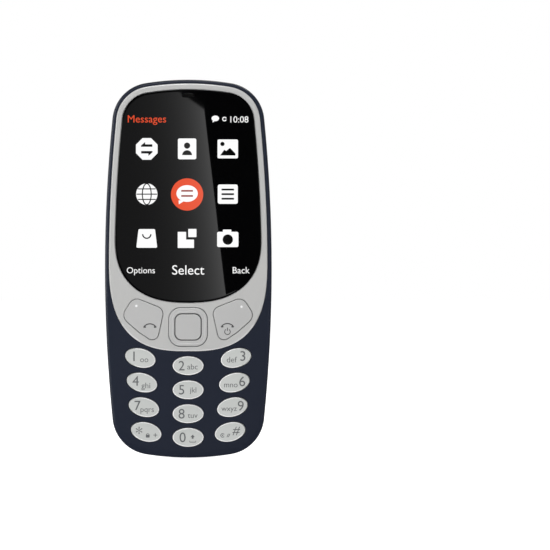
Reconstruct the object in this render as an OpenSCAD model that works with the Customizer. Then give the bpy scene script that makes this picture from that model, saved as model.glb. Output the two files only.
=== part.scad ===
// Push-button mobile phone with a pull-off wrap-around back cover.
// X is the width, Y the thickness (the keys face -Y) and +Z runs up the length.
// The origin is the middle of the bottom end.

/* [Body] */
// Width over the back cover
body_w = 51; // [50:0.5:54]
// Length over the back cover
body_l = 115.6; // [114:0.2:120]
// Front of the keys and window at the middle, as a depth ahead of the middle plane
front_y = -6.4; // [-6.6:0.1:-6.3]
// Back face of the cover, behind the middle plane
back_y = 6.2; // [6.1:0.05:6.4]
// Radius of the long side edges, seen from the front
side_r = 462; // [300:10:700]
// Radius of the top and bottom edges
end_r = 82; // [70:1:100]
// Radius of the four corners
corner_r = 12.1; // [11.5:0.1:13]
// Radius of the gentle crown across the front
crown_r = 230; // [200:10:400]

/* [Back cover] */
// Wall thickness of the cover
cover_wall = 1; // [0.8:0.1:1.1]
// How far the rounded back edge reaches in from the side
back_round = 9.5; // [8.5:0.1:10.5]
// How far the cover has rolled inwards at its front edge
front_round = 1.5; // [1:0.1:1.8]

/* [Screen] */
// Width of the silver screen surround's sides, from the body's edge to the surround
rim_w = 1.3; // [0.9:0.05:1.4]
// Distance from the body's edge to the black window
window_inset = 3.1; // [2.9:0.1:3.4]
// Lowest point of the screen surround
bezel_bottom = 32.6; // [32:0.1:33]
// Lowest point of the window
window_bottom = 47.4; // [46.9:0.1:48]

/* [Keys] */
// Length of an oval key
key_l = 9.4; // [9:0.1:9.9]
// Height of an oval key
key_h = 5.7; // [5:0.1:6.1]
// Slope of the keys in the outer columns
key_tilt = 14; // [10:1:15]
// Gap around every key
key_gap = 0.16; // [0.12:0.02:0.2]
// How far a key goes in
key_travel = 0.35; // [0.2:0.05:0.35]
// Size of the navigation ring
ring_w = 11.7; // [11.5:0.1:12.3]
// Size of the select key
select_w = 7.9; // [7.8:0.1:8.6]

/* [Battery] */
// Width of the battery
battery_w = 37; // [34:0.5:37.5]
// Length of the battery
battery_l = 57; // [52:0.5:57]
// Thickness of the battery
battery_t = 3.7; // [3.3:0.05:3.7]

/* [Hidden] */

mid_z = body_l / 2;
end_y = 6.4;            // outermost back plane, at the camera ring
waist_front = 1;        // front and back of the narrow band where the cover is widest
waist_back = 1.6;
housing_y = -6;         // crest of the front housing
bezel_y = -6.25;        // crest of the screen surround
seam_y = -5;            // crest of the seam between cover and front housing
seam_r = 260;
floor_y = -3.4;         // back of the front housing's plate
skirt_in = 2.4;         // inside of the front housing's skirt, from the body's edge
board_front = -1.6;
board_back = -0.6;
lip = 0.8;              // extra length and height of a key's hidden flange
eps = 0.02;

navy = [0.13, 0.15, 0.21];
silver = [0.78, 0.78, 0.78];
key_grey = [0.8, 0.81, 0.8];
glass_black = [0.03, 0.03, 0.03];
metal = [0.7, 0.71, 0.73];
board_green = [0.1, 0.3, 0.2];
plastic_dark = [0.16, 0.16, 0.17];
gold = [0.8, 0.65, 0.3];

// Centres of the sockets and modules behind the front
jack_at = [-6.5, 0.4];      // x, y
jack_r = 1.8;
jack_z = 3;
jack_l = 12;
plug_r = 3;
mic_at = [6.7, -2.05];      // x, y
mic_r = 0.45;
usb_y = 0.8;
usb_top = 112.5;
camera_z = 85.8;
camera_w = 13.3;
camera_corner = 4.9;
camera_glass = 10.3;
flash_at = [10.2, 85.6];
speaker_at = [10, 101.4];
slot_z = [99, 101.4, 103.8];
motor_at = [-13, 2.2];      // x, y
motor_z = 92;
battery_z = 20;
battery_y = 0.6;
nav_z = 40;
housing_screw_at = [[-17.5, 11.8], [17.5, 11.8], [-9.5, 109.3], [9.5, 109.3]];
board_screw_at = [[-21, 48.8], [21, 48.8]];
lcd_z = [51, 105.2];
lcd_w = 39.6;

// Oval keys: x, z and slope, row by row from the top
key_rows = [
    [[-14.6, 30.55, -key_tilt], [0, 28.2, 0], [14.6, 30.55, key_tilt]],
    [[-14.1, 23.05, -key_tilt], [0, 20.85, 0], [14.1, 23.05, key_tilt]],
    [[-13.5, 15.55, -key_tilt], [0, 13.55, 0], [13.5, 15.55, key_tilt]],
    [[-12.8, 8, -key_tilt], [0, 6.35, 0], [12.8, 8, key_tilt]]];
key_list = [for (row = key_rows) each row];

// Plan outline: three tangent arcs for each quarter
half_w = body_w / 2;
half_l = body_l / 2;
side_c = [half_w - side_r, 0];
end_c = [0, half_l - end_r];
centre_gap = norm(end_c - side_c);
along = (end_c - side_c) / centre_gap;
side_reach = side_r - corner_r;
end_reach = end_r - corner_r;
foot = (side_reach ^ 2 - end_reach ^ 2 + centre_gap ^ 2) / (2 * centre_gap);
rise = sqrt(side_reach ^ 2 - foot ^ 2);
corner_c = side_c + along * foot + [-along.y, along.x] * rise;
turn_a = atan2(corner_c.y, corner_c.x - side_c.x);
turn_b = atan2(corner_c.y - end_c.y, corner_c.x);

function arc(centre, r, from, to, steps) =
    [for (i = [0:steps - 1]) let (a = from + (to - from) * i / steps) centre + r * [cos(a), sin(a)]];

function quarter(inset) = concat(
    arc(side_c, side_r - inset, 0, turn_a, 3),
    arc(corner_c, corner_r - inset, turn_a, turn_b, 8),
    arc(end_c, end_r - inset, turn_b, 90, 4),
    [[0, half_l - inset]]);

// Body outline, set in by a distance, about the middle of the phone
function outline(inset) = let (q = quarter(inset), n = len(q)) [
    each q,
    for (i = [n - 2:-1:0]) [-q[i].x, q[i].y],
    for (i = [1:n - 1]) [-q[i].x, -q[i].y],
    for (i = [n - 2:-1:1]) [q[i].x, -q[i].y]];

function raised(points) = [for (p = points) [p.x, p.y + mid_z]];

// Body outline above a height, closed below by a superellipse
function shield_shape(inset, low, join_z, power, steps = 18) =
    let (
        top = [for (p = raised(outline(inset))) if (p.y > join_z + 1) p],
        right = [for (p = top) if (p.x > 0) p],
        left = [for (p = top) if (p.x <= 0) p],
        w = half_w - inset - (join_z - mid_z) ^ 2 / (2 * side_r),
        h = join_z - low)
    [each right, each left,
        for (i = [0:2 * steps]) let (a = 180 + 90 * i / steps, c = cos(a), s = sin(a))
            [sign(c) * w * abs(c) ^ (2 / power), join_z + h * sign(s) * abs(s) ^ (2 / power)]];

// Outline with rounded corners: a list of points and a radius for each
function rounded(points, radii, steps = 5) = [
    for (i = [0:len(points) - 1])
        let (
            p = points[i],
            a = points[(i + len(points) - 1) % len(points)] - p,
            b = points[(i + 1) % len(points)] - p,
            u = a / norm(a),
            v = b / norm(b),
            half = acos(u * v) / 2,
            mid = (u + v) / norm(u + v),
            c = p + mid * radii[i] / sin(half),
            from = atan2(-mid.y, -mid.x),
            way = sign(u.x * v.y - u.y * v.x),
            sweep = (90 - half) * way)
        for (k = [-steps:steps]) let (t = from - sweep * k / steps) c + radii[i] * [cos(t), sin(t)]];

function squircle(w, r, steps = 6) =
    let (h = w / 2) rounded([[h, h], [-h, h], [-h, -h], [h, -h]], [r, r, r, r], steps);

function oval(l, h, steps = 36) =
    [for (i = [0:steps - 1]) [l / 2 * cos(i * 360 / steps), h / 2 * sin(i * 360 / steps)]];

// Left function key, as corner points and their radii; grow is added all round
function function_key_shape(grow) =
    let (
        m = [-13.6, 42.3],
        pts = [[-7.3, 45.4], [-16.6, 49.1], [-20.35, 43.14], [-15.1, 38.5], [-9.65, 34.85]],
        radii = [2.4, 2.6, 2.7, 9, 2],
        raw = rounded(pts, radii))
    [for (p = raw) p + grow * (p - m) / norm(p - m)];

// A flat layer between two depths, from an outline in X and Z
module slab(y0, y1) {
    translate([0, y1, 0]) rotate([90, 0, 0]) linear_extrude(y1 - y0) children();
}

module body_slab(y0, y1, inset) {
    slab(y0, y1) polygon(raised(outline(inset)));
}

module block(x0, x1, y0, y1, z0, z1) {
    translate([x0, y0, z0]) cube([x1 - x0, y1 - y0, z1 - z0]);
}

// Everything behind a surface that is crowned across X
module behind(crest, r) {
    translate([0, crest + r, -5]) cylinder(r = r, h = body_l + 10, $fn = 360);
}

module pin_y(at, y0, y1, r) {
    translate([at.x, y1, at.y]) rotate([90, 0, 0]) cylinder(r = r, h = y1 - y0, $fn = 32);
}

// Solid through a stack of body outlines: rings of [inset, y], front to back
module loft(rings) {
    n = len(outline(0));
    last = len(rings) - 1;
    points = [for (ring = rings) for (p = raised(outline(ring[0]))) [p.x, ring[1], p.y]];
    sides = [for (k = [0:last - 1]) for (i = [0:n - 1])
        let (j = (i + 1) % n) [k * n + i, k * n + j, (k + 1) * n + j, (k + 1) * n + i]];
    front = [for (i = [n - 1:-1:0]) i];
    back = [for (i = [0:n - 1]) last * n + i];
    polyhedron(points, [each sides, front, back]);
}

// Section of the cover, outside (wall = 0) or inside
front_power = 2.2;
back_power = 2.3;
front_depth = 9.3;
function front_inset(y) =
    front_round * (1 - (1 - ((waist_front - y) / front_depth) ^ front_power) ^ (1 / front_power));
function cover_rings(wall, front_end) = [
    for (y = [front_end, -5, -3.6, -2.2, -0.8, 0.2, waist_front]) [front_inset(max(y, -6)) + wall, y],
    for (t = [0, 20, 34, 46, 57, 67, 76, 84, 90])
        [wall + (back_round - wall) * (1 - cos(t) ^ (2 / back_power)),
            waist_back + (back_y - wall - waist_back) * sin(t) ^ (2 / back_power)]];

// ---- front ----

module key_holes(grow) {
    for (k = key_list)
        translate([k.x, 0, k.y]) rotate([0, -k.z, 0])
            slab(-8, 2) polygon(oval(key_l + 2 * grow, key_h + 2 * grow));
}

module function_key_holes(grow) {
    for (side = [0, 1]) mirror([side, 0, 0]) slab(-8, 2) polygon(function_key_shape(grow));
    translate([0, 0, nav_z]) slab(-8, 2) polygon(squircle(ring_w + 2 * grow, 3.5 + grow));
}

module display_opening() {
    block(-18.6, 18.6, -8, 2, lcd_z[0] + 1.4, lcd_z[1] - 1.2);
    block(-5.4, 5.4, -8, 2, 105.9, 111.6);
}

module front_housing() color(navy) {
    difference() {
        intersection() {
            behind(housing_y, crown_r);
            union() {
                difference() {
                    body_slab(-7, floor_y, 0.3);
                    behind(seam_y - 0.08, seam_r);
                }
                body_slab(-7, floor_y, 1.8);
                body_slab(floor_y - eps, 0.5, 1.8);
            }
        }
        difference() {
            body_slab(floor_y, 1, skirt_in);
            for (s = housing_screw_at) pin_y(s, floor_y - 1, 1, 1.1);
            for (s = board_screw_at) pin_y(s, floor_y - 1, 1, 1.1);
        }
        body_slab(board_front, 1, skirt_in);
        block(-half_w, half_w, board_front - 0.05, 2, -1, 12);
        slab(-7, -4.45) polygon(shield_shape(rim_w - 0.05, bezel_bottom - 0.05, 61, 2.8));
        block(-lcd_w / 2 - 0.35, lcd_w / 2 + 0.35, -4.05, 1, lcd_z[0] - 0.35, lcd_z[1] + 0.35);
        display_opening();
        key_holes(key_gap);
        function_key_holes(key_gap + 0.1);
        for (s = housing_screw_at) pin_y(s, -4, 1, 0.65);
        for (s = board_screw_at) pin_y(s, -4, 1, 0.65);
        translate([jack_at.x, jack_at.y, -1]) cylinder(r = plug_r, h = 6, $fn = 48);
        translate([mic_at.x, mic_at.y, -1]) cylinder(r = mic_r, h = 5, $fn = 24);
        block(-4.5, 4.5, -1.1, 2, 108, 116);
    }
}

module screen_bezel() color(silver) {
    difference() {
        intersection() {
            behind(bezel_y, crown_r);
            union() {
                difference() {
                    slab(-7, -4.5) polygon(shield_shape(rim_w, bezel_bottom, 61, 2.8));
                    behind(seam_y - 0.2, seam_r);
                }
                slab(-7, -4.5) polygon(shield_shape(2.1, bezel_bottom + 1, 61, 2.8));
            }
        }
        slab(-7, -4.84) polygon(shield_shape(window_inset - 0.05, window_bottom - 0.05, 67, 2.44));
        slab(-7, -4) polygon(shield_shape(window_inset + 1, window_bottom + 1, 67, 2.44));
        function_key_holes(key_gap);
    }
}

module screen_window() color(glass_black) {
    difference() {
        intersection() {
            behind(front_y, crown_r);
            slab(-7, -4.86) polygon(shield_shape(window_inset, window_bottom, 67, 2.44));
        }
        for (x = [-1.25, 1.25]) pin_y([x, 110.7], -7, -4, 0.6);
        block(-1.25, 1.25, -7, -4, 110.1, 111.3);
    }
}

module earpiece_mesh() color(plastic_dark) {
    block(-2.6, 2.6, -4.82, -4.4, 109.7, 111.35);
}

module earpiece() color(metal) {
    difference() {
        block(-5, 5, -4.35, -2.2, 106.2, 111.5);
        block(-2, 2, -5, -3.8, 109.9, 111.2);
    }
}

// ---- display ----

module lcd_panel() color([0.02, 0.02, 0.03]) {
    block(-lcd_w / 2, lcd_w / 2, -4, -2.7, lcd_z[0], lcd_z[1]);
}

module light_guide() color("white") {
    block(-19, 19, -2.66, -2.18, lcd_z[0] + 0.6, lcd_z[1] - 0.6);
}

module lcd_tray() color(metal) {
    difference() {
        block(-lcd_w / 2 - 0.25, lcd_w / 2 + 0.25, -3.85, -1.95, lcd_z[0] - 0.25, lcd_z[1] + 0.25);
        block(-lcd_w / 2 - eps, lcd_w / 2 + eps, -5, -2.15, lcd_z[0] - eps, lcd_z[1] + eps);
    }
}

// ---- board and what is on it ----

module main_board() color(board_green) {
    difference() {
        body_slab(board_front, board_back, 3.2);
        block(jack_at.x - 3.5, jack_at.x + 3.5, -3, 1, 0, jack_z + jack_l + 2.2);
        for (s = housing_screw_at) pin_y(s, -3, 1, 0.65);
        for (s = board_screw_at) pin_y(s, -3, 1, 0.65);
    }
}

module shield_cans() color(metal) {
    block(-20, -8.6, board_back, 0.45, 79, 90.5);
    block(-18, 18, board_back, 0.45, 62, 74);
    block(-18, -2.5, board_back, 0.45, 42.5, 58.5);
}

module sim_sockets() color(metal) {
    for (z = [24.5, 42.5])
        difference() {
            block(0, 13.6, board_back, 0.45, z, z + 16);
            block(0.7, 12.9, -0.3, 0.2, z - 1, z + 15.2);
        }
}

module memory_card_socket() color(metal) {
    difference() {
        block(-16, -2.5, board_back, 0.45, 24, 38);
        block(-15.2, -3.4, -0.3, 0.15, 23, 37.2);
    }
}

module key_domes() color(gold) {
    for (k = key_list) dome([k.x, k.y]);
    for (side = [-1, 1]) for (p = [[11, 38.6], [16, 44.4]]) dome([side * p.x, p.y]);
    dome([0, nav_z]);
    for (a = [0:90:270]) translate([5.1 * cos(a), 0, 5.1 * sin(a)]) dome([0, nav_z], 0.75);
}

module dome(at, r = 1.9) {
    translate([at.x, board_front, at.y]) rotate([90, 0, 0]) cylinder(r1 = r, r2 = r * 0.6, h = 0.3, $fn = 32);
}

module keypad_mat() color([0.75, 0.75, 0.78]) {
    difference() {
        intersection() {
            body_slab(-3.34, -3.04, 3);
            block(-22, 22, -4, 0, 0, 34.5);
        }
        block(-7, 7, -4, 0, 33.2, 36);
        for (k = key_list)
            translate([k.x, 0, k.y]) rotate([0, -k.z, 0])
                slab(-5, 0) polygon(oval(key_l + lip + 0.2, key_h + lip + 0.4));
        for (s = housing_screw_at) pin_y(s, -5, 0, 1.3);
    }
}

module battery_contacts() color(plastic_dark) {
    difference() {
        block(-8, 8, board_back, 3, 77.6, 81.3);
        for (x = [-5, 0, 5]) block(x - 1.2, x + 1.2, 0.9, 2.6, 77, 78.6);
    }
    color(gold) for (x = [-5, 0, 5]) block(x - 0.8, x + 0.8, 1.1, 2.4, 77.3, 78.6);
}

module camera_module() color(plastic_dark) {
    difference() {
        union() {
            block(-4.3, 4.3, board_back, 3, camera_z - 4.3, camera_z + 4.3);
            pin_y([0, camera_z], 3 - eps, 4.5, 3.2);
        }
        pin_y([0, camera_z], 3.9, 5, 1.7);
    }
    color(glass_black) pin_y([0, camera_z], 3.9 - eps, 4.3, 1.65);
}

module flash_led() color([0.95, 0.95, 0.8]) {
    block(flash_at.x - 2, flash_at.x + 2, board_back, 3.4, flash_at.y - 2, flash_at.y + 2);
    pin_y(flash_at, 3.4 - eps, 4.3, 1.3);
}

module loudspeaker() color(plastic_dark) {
    difference() {
        block(speaker_at.x - 7, speaker_at.x + 7, 0.4, 3.8, speaker_at.y - 5.5, speaker_at.y + 5.5);
        block(speaker_at.x - 5.6, speaker_at.x + 5.6, 3.3, 5, speaker_at.y - 4.1, speaker_at.y + 4.1);
    }
    pin_y(speaker_at, 3.3 - eps, 3.6, 3.2);
}

module usb_socket() color(metal) {
    difference() {
        block(-3.75, 3.75, usb_y - 1.38, usb_y + 1.38, usb_top - 5.6, usb_top);
        block(-3.45, 3.45, usb_y - 0.93, usb_y + 0.93, usb_top - 5, usb_top + 1);
    }
}

module usb_tongue() color(plastic_dark) {
    block(-2.8, 2.8, usb_y + 0.15, usb_y + 0.65, usb_top - 5, usb_top - 0.6);
}

module headphone_socket() color(plastic_dark) {
    difference() {
        block(jack_at.x - 3.1, jack_at.x + 3.1, jack_at.y - 2.4, jack_at.y + 2.4,
            jack_z, jack_z + jack_l + 1.4);
        translate([jack_at.x, jack_at.y, jack_z - 1]) cylinder(r = jack_r, h = jack_l + 1, $fn = 64);
    }
}

module vibration_motor() color(metal) {
    difference() {
        translate([motor_at.x, motor_at.y, motor_z]) cylinder(r = 2, h = 8.5, $fn = 48);
        translate([motor_at.x, motor_at.y, motor_z + 3]) cylinder(r = 0.45, h = 6, $fn = 32);
    }
}

module vibration_shaft() color(metal) {
    translate([motor_at.x, motor_at.y, motor_z + 3.2]) cylinder(r = 0.4, h = 9.2, $fn = 32);
}

module vibration_weight() color(gold) {
    translate([motor_at.x, motor_at.y, motor_z + 8.9])
        difference() {
            cylinder(r = 2.4, h = 3.2, $fn = 48);
            translate([-3, -3, -1]) cube([6, 2.2, 6]);
            translate([0, 0, -1]) cylinder(r = 0.4, h = 6, $fn = 32);
        }
}

module microphone() color(metal) {
    block(5, 8.2, board_front - 0.7, board_front, 5, 8);
}

module antenna_strip() color(gold) {
    block(0, 13.4, 3.02, 3.22, 5.2, 15.4);
    block(-0.4, 0.4, 3.02, 3.22, 7, 13);
}

// ---- chassis ----

module chassis() color([0.2, 0.2, 0.22]) {
    difference() {
        body_slab(board_back + 0.05, 3, 3.1);
        block(-battery_w / 2 - 0.25, battery_w / 2 + 0.25, battery_y - 0.05, 5,
            battery_z - 0.25, battery_z + battery_l + 0.25);
        block(-20.2, -8.4, -1, 5, 78.8, 90.7);
        block(-18.2, 18.2, -1, 5, 61.8, 74.2);
        block(-18.2, 13.8, -1, 5, 42.3, 58.7);
        block(-16.2, 13.8, -1, 5, 22, 40.7);
        block(-8.2, 8.2, -1, 5, 77.1, 91);
        block(flash_at.x - 2.2, flash_at.x + 2.2, -1, 5, flash_at.y - 2.2, flash_at.y + 2.2);
        block(speaker_at.x - 7.2, speaker_at.x + 7.2, 0.2, 5, speaker_at.y - 5.7, speaker_at.y + 5.7);
        block(motor_at.x - 2.6, motor_at.x + 2.6, -1, 5, motor_z - 0.2, motor_z + 13);
        block(jack_at.x - 3.3, jack_at.x + 3.3, -1, 5, 0, jack_z + jack_l + 1.6);
        block(-4, 4, -1, 5, usb_top - 5.8, 116);
        for (s = housing_screw_at) pin_y(s, -1, 5, 0.65);
        for (s = housing_screw_at) pin_y(s, 2, 5, 1.2);
        for (s = board_screw_at) pin_y(s, -1, 0.1, 1.1);
    }
}

module housing_screws() color(metal) {
    for (s = housing_screw_at) {
        pin_y(s, -3.3, 2.1, 0.6);
        difference() {
            pin_y(s, 2.08, 2.75, 1.1);
            block(s.x - 0.8, s.x + 0.8, 2.5, 3, s.y - 0.15, s.y + 0.15);
            block(s.x - 0.15, s.x + 0.15, 2.5, 3, s.y - 0.8, s.y + 0.8);
        }
    }
}

module board_screws() color(metal) {
    for (s = board_screw_at) {
        pin_y(s, -3.3, board_back + 0.02, 0.6);
        pin_y(s, board_back, 0, 1);
    }
}

// ---- back cover ----

module cover_hook(side, z) {
    edge = half_w - (z - mid_z) ^ 2 / (2 * side_r);
    mirror([side, 0, 0]) block(edge - 2.4, edge - 0.8, 0.9, 2.2, z - 2.5, z + 2.5);
}

module back_cover() color(navy) {
    difference() {
        union() {
            intersection() {
                difference() {
                    loft(cover_rings(0, -5.9));
                    loft(cover_rings(cover_wall, -6.6));
                }
                behind(seam_y, seam_r);
            }
            for (side = [0, 1]) for (z = [26, mid_z, 90]) cover_hook(side, z);
        }
        translate([0, 0, camera_z]) slab(3, 8) polygon(squircle(camera_w + 0.2, camera_corner + 0.1));
        pin_y(flash_at, 3, 8, 1.75);
        for (z = slot_z) speaker_slot(z);
        translate([jack_at.x, jack_at.y, -2]) cylinder(r = plug_r, h = 6, $fn = 48);
        translate([mic_at.x, mic_at.y, -2]) cylinder(r = mic_r, h = 6, $fn = 24);
        block(-4.4, 4.4, usb_y - 1.8, usb_y + 1.8, 112, 117);
    }
}

module speaker_slot(z) {
    for (side = [-0.8, 0.8]) pin_y([speaker_at.x + side, z], 4, 8, 0.7);
    block(speaker_at.x - 0.8, speaker_at.x + 0.8, 4, 8, z - 0.7, z + 0.7);
}

module camera_ring() color(silver) {
    translate([0, 0, camera_z]) difference() {
        union() {
            slab(4.7, 5.15) polygon(squircle(15, 5.6));
            slab(5.1, end_y) polygon(squircle(camera_w, camera_corner));
        }
        slab(5.25, 8) polygon(squircle(camera_glass, 3.9));
        pin_y([0, 0], 4, 8, 3.6);
    }
}

module camera_window() color(glass_black) {
    translate([0, 0, camera_z]) slab(5.28, 6.15) polygon(squircle(camera_glass - 0.1, 3.85));
}

module flash_lens() color([0.95, 0.95, 0.85]) {
    pin_y(flash_at, 4.7, 5.15, 2.3);
    pin_y(flash_at, 5.1, 6.15, 1.65);
}

module loudspeaker_mesh() color(plastic_dark) {
    block(speaker_at.x - 3, speaker_at.x + 3, 4.9, 5.15, 97.4, 105.4);
}

// ---- battery ----

module battery_cell() color([0.75, 0.76, 0.78]) {
    block(-battery_w / 2 + 0.1, battery_w / 2 - 0.1, battery_y + 0.1, battery_y + battery_t - 0.1,
        battery_z + 0.1, battery_z + battery_l - 3.6);
}

module battery_cap() color(plastic_dark) {
    difference() {
        block(-battery_w / 2, battery_w / 2, battery_y, battery_y + battery_t,
            battery_z + battery_l - 3.5, battery_z + battery_l);
        for (x = [-5, 0, 5])
            block(x - 1, x + 1, 1.2, 2.3, battery_z + battery_l - 0.4, battery_z + battery_l + 1);
    }
}

module battery_wrap() color("white") {
    difference() {
        block(-battery_w / 2, battery_w / 2, battery_y, battery_y + battery_t,
            battery_z, battery_z + battery_l - 3.55);
        block(-battery_w / 2 + 0.08, battery_w / 2 - 0.08, battery_y + 0.08, battery_y + battery_t - 0.08,
            battery_z + 0.08, battery_z + battery_l);
    }
}

// ---- keys ----

module oval_key(k) color(key_grey) {
    intersection() {
        behind(front_y, crown_r);
        translate([k.x, 0, k.y]) rotate([0, -k.z, 0]) {
            slab(-7, -3.2) polygon(oval(key_l, key_h));
            slab(-3.34, -2.84) polygon(oval(key_l + lip, key_h + lip));
            pin_y([0, 0], -2.9, board_front - 0.3 - key_travel - 0.05, 1.1);
        }
    }
}

module key_1() oval_key(key_list[0]);
module key_2() oval_key(key_list[1]);
module key_3() oval_key(key_list[2]);
module key_4() oval_key(key_list[3]);
module key_5() oval_key(key_list[4]);
module key_6() oval_key(key_list[5]);
module key_7() oval_key(key_list[6]);
module key_8() oval_key(key_list[7]);
module key_9() oval_key(key_list[8]);
module key_star() oval_key(key_list[9]);
module key_0() oval_key(key_list[10]);
module key_hash() oval_key(key_list[11]);

module function_key() color(silver) {
    intersection() {
        behind(front_y + 0.02, crown_r);
        union() {
            slab(-7, -2.9) polygon(function_key_shape(0));
            slab(-3, -2.6) polygon(function_key_shape(0.5));
            for (p = [[-11, 38.6], [-16, 44.4]]) pin_y(p, -2.8, -2.12, 0.9);
        }
    }
}

module left_function_key() function_key();
module right_function_key() mirror([1, 0, 0]) function_key();

module navigation_pad() color([0.75, 0.75, 0.78]) {
    difference() {
        translate([0, 0, nav_z]) slab(-3.1, -2.7) polygon(squircle(ring_w + 0.9, 3.8));
        translate([0, 0, nav_z]) slab(-4, -2) polygon(squircle(select_w - 0.5, 2));
        for (s = [-1, 1]) pin_y([s * 5.1, nav_z], -4, -2, 0.8);
    }
    for (s = [-1, 1]) pin_y([0, nav_z + s * 5.1], -2.8, -2.3, 0.6);
}

module navigation_ring() color(silver) {
    difference() {
        intersection() {
            behind(front_y, crown_r);
            translate([0, 0, nav_z]) slab(-7, -3.4) polygon(squircle(ring_w, 3.5));
        }
        translate([0, 0, nav_z]) slab(-8, 0) polygon(squircle(select_w + 2 * key_gap, 2 + key_gap));
    }
    for (s = [-1, 1]) pin_y([s * 5.1, nav_z], -3.5, -2.3, 0.5);
}

module select_key() color(silver) {
    intersection() {
        behind(front_y, crown_r);
        translate([0, 0, nav_z]) {
            slab(-7, -2.9) polygon(squircle(select_w - 0.9, 1.7));
            slab(-7, -3.8) polygon(squircle(select_w, 2));
            pin_y([0, 0], -3, board_front - 0.3 - key_travel - 0.05, 1.1);
        }
    }
}

front_housing();
screen_bezel();
screen_window();
lcd_panel();
light_guide();
lcd_tray();
earpiece();
earpiece_mesh();
chassis();
main_board();
shield_cans();
key_domes();
keypad_mat();
sim_sockets();
memory_card_socket();
battery_contacts();
camera_module();
flash_led();
loudspeaker();
usb_socket();
usb_tongue();
headphone_socket();
vibration_motor();
vibration_shaft();
vibration_weight();
microphone();
antenna_strip();
housing_screws();
board_screws();
back_cover();
camera_ring();
camera_window();
flash_lens();
loudspeaker_mesh();
battery_cell();
battery_cap();
battery_wrap();
key_1();
key_2();
key_3();
key_4();
key_5();
key_6();
key_7();
key_8();
key_9();
key_star();
key_0();
key_hash();
left_function_key();
right_function_key();
navigation_pad();
navigation_ring();
select_key();
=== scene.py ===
# A push-button mobile phone with a pull-off back cover: its looks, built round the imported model.
# Pieces are worked in millimetres, and finishPiece turns each mesh to metres.
import math

import bmesh
import bpy
from mathutils import Matrix, Vector


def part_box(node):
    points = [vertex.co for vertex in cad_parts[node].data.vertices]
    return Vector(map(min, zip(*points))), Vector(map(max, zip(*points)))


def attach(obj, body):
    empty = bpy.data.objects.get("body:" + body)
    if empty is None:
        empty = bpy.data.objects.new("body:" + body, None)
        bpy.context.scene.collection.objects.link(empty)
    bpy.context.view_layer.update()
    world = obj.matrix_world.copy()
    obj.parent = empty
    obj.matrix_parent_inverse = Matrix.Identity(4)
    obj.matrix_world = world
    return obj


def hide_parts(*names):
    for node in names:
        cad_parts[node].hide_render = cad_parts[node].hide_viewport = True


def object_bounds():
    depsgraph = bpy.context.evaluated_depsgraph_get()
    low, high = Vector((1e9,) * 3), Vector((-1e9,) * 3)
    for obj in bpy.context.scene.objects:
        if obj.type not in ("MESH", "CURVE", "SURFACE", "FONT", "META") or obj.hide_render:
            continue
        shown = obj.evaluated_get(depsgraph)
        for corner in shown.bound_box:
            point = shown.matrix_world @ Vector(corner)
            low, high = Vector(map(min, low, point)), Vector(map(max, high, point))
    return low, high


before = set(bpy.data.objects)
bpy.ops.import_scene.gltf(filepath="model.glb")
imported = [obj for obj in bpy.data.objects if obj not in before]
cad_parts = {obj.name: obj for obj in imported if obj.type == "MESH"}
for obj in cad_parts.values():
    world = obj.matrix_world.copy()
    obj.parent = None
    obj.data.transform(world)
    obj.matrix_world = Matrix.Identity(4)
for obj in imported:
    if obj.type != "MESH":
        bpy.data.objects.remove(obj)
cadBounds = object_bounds()
scene = bpy.context.scene
scene.view_settings.view_transform = "Standard"

body = {
    "width": (cadBounds[1].x - cadBounds[0].x) * 1000,
    "length": (cadBounds[1].z - cadBounds[0].z) * 1000,
    "sideRadius": 462,
    "endRadius": 82,
    "cornerRadius": 12.1,
    "crownRadius": 230,  # gentle crown across the whole front
    "seamCrest": -5,  # joint line of cover and front housing
    "seamRadius": 260,
}
halfWidth = body["width"] / 2
middle = body["length"] / 2


def nodeBox(name):
    lowest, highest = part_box(name)
    return lowest * 1000, highest * 1000


def nodeCentre(name):  # in the front plane
    lowest, highest = nodeBox(name)
    return Vector(((lowest.x + highest.x) / 2, (lowest.z + highest.z) / 2))


# camera, lights and floor

studio = {
    "lens": 429.4,
    "camera": (26.5, -2006.4, 55.85),
    "ambient": 0.25,
    "dark": 0.002,  # what gloss sees where there is no lamp
    "floorGlow": 0.9,
}


def addCamera():
    data = bpy.data.cameras.new("studioCamera")
    data.lens = studio["lens"]
    data.sensor_width = 36
    data.clip_end = 30
    camera = bpy.data.objects.new("studioCamera", data)
    camera.location = Vector(studio["camera"]) / 1000
    camera.rotation_euler = (math.pi / 2, 0, 0)
    scene.collection.objects.link(camera)
    scene.camera = camera


def addLamp(name, place, target, size, power, tint=(1, 1, 1)):
    data = bpy.data.lights.new(name, "AREA")
    data.shape = "RECTANGLE"
    data.size, data.size_y = size
    data.energy = power
    data.color = tint
    lamp = bpy.data.objects.new(name, data)
    lamp.location = place
    lamp.rotation_euler = (Vector(target) - Vector(place)).to_track_quat("-Z", "Y").to_euler()
    lamp.visible_camera = False
    scene.collection.objects.link(lamp)


addCamera()
phoneMiddle = (0, 0, middle / 1000)
addLamp("topFront", (-0.15, -1.7, 1.75), phoneMiddle, (1.3, 0.9), 16)
addLamp("leftFront", (-1.9, -1.3, 0.55), phoneMiddle, (0.8, 1.5), 9.5)
addLamp("rightFront", (2.0, -1.2, 0.5), phoneMiddle, (0.7, 1.4), 4.5)
addLamp("leftSide", (-2.3, -0.35, 0.5), phoneMiddle, (0.5, 1.6), 7)
addLamp("topSide", (-0.3, -0.45, 2.4), phoneMiddle, (1.6, 0.5), 3)
addLamp("topBack", (0.6, 1.9, 1.7), phoneMiddle, (1.3, 0.9), 15)
addLamp("leftBack", (-1.8, 1.2, 0.5), phoneMiddle, (0.7, 1.4), 6)
print("camera and lamps: done")


# shader helpers


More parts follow.
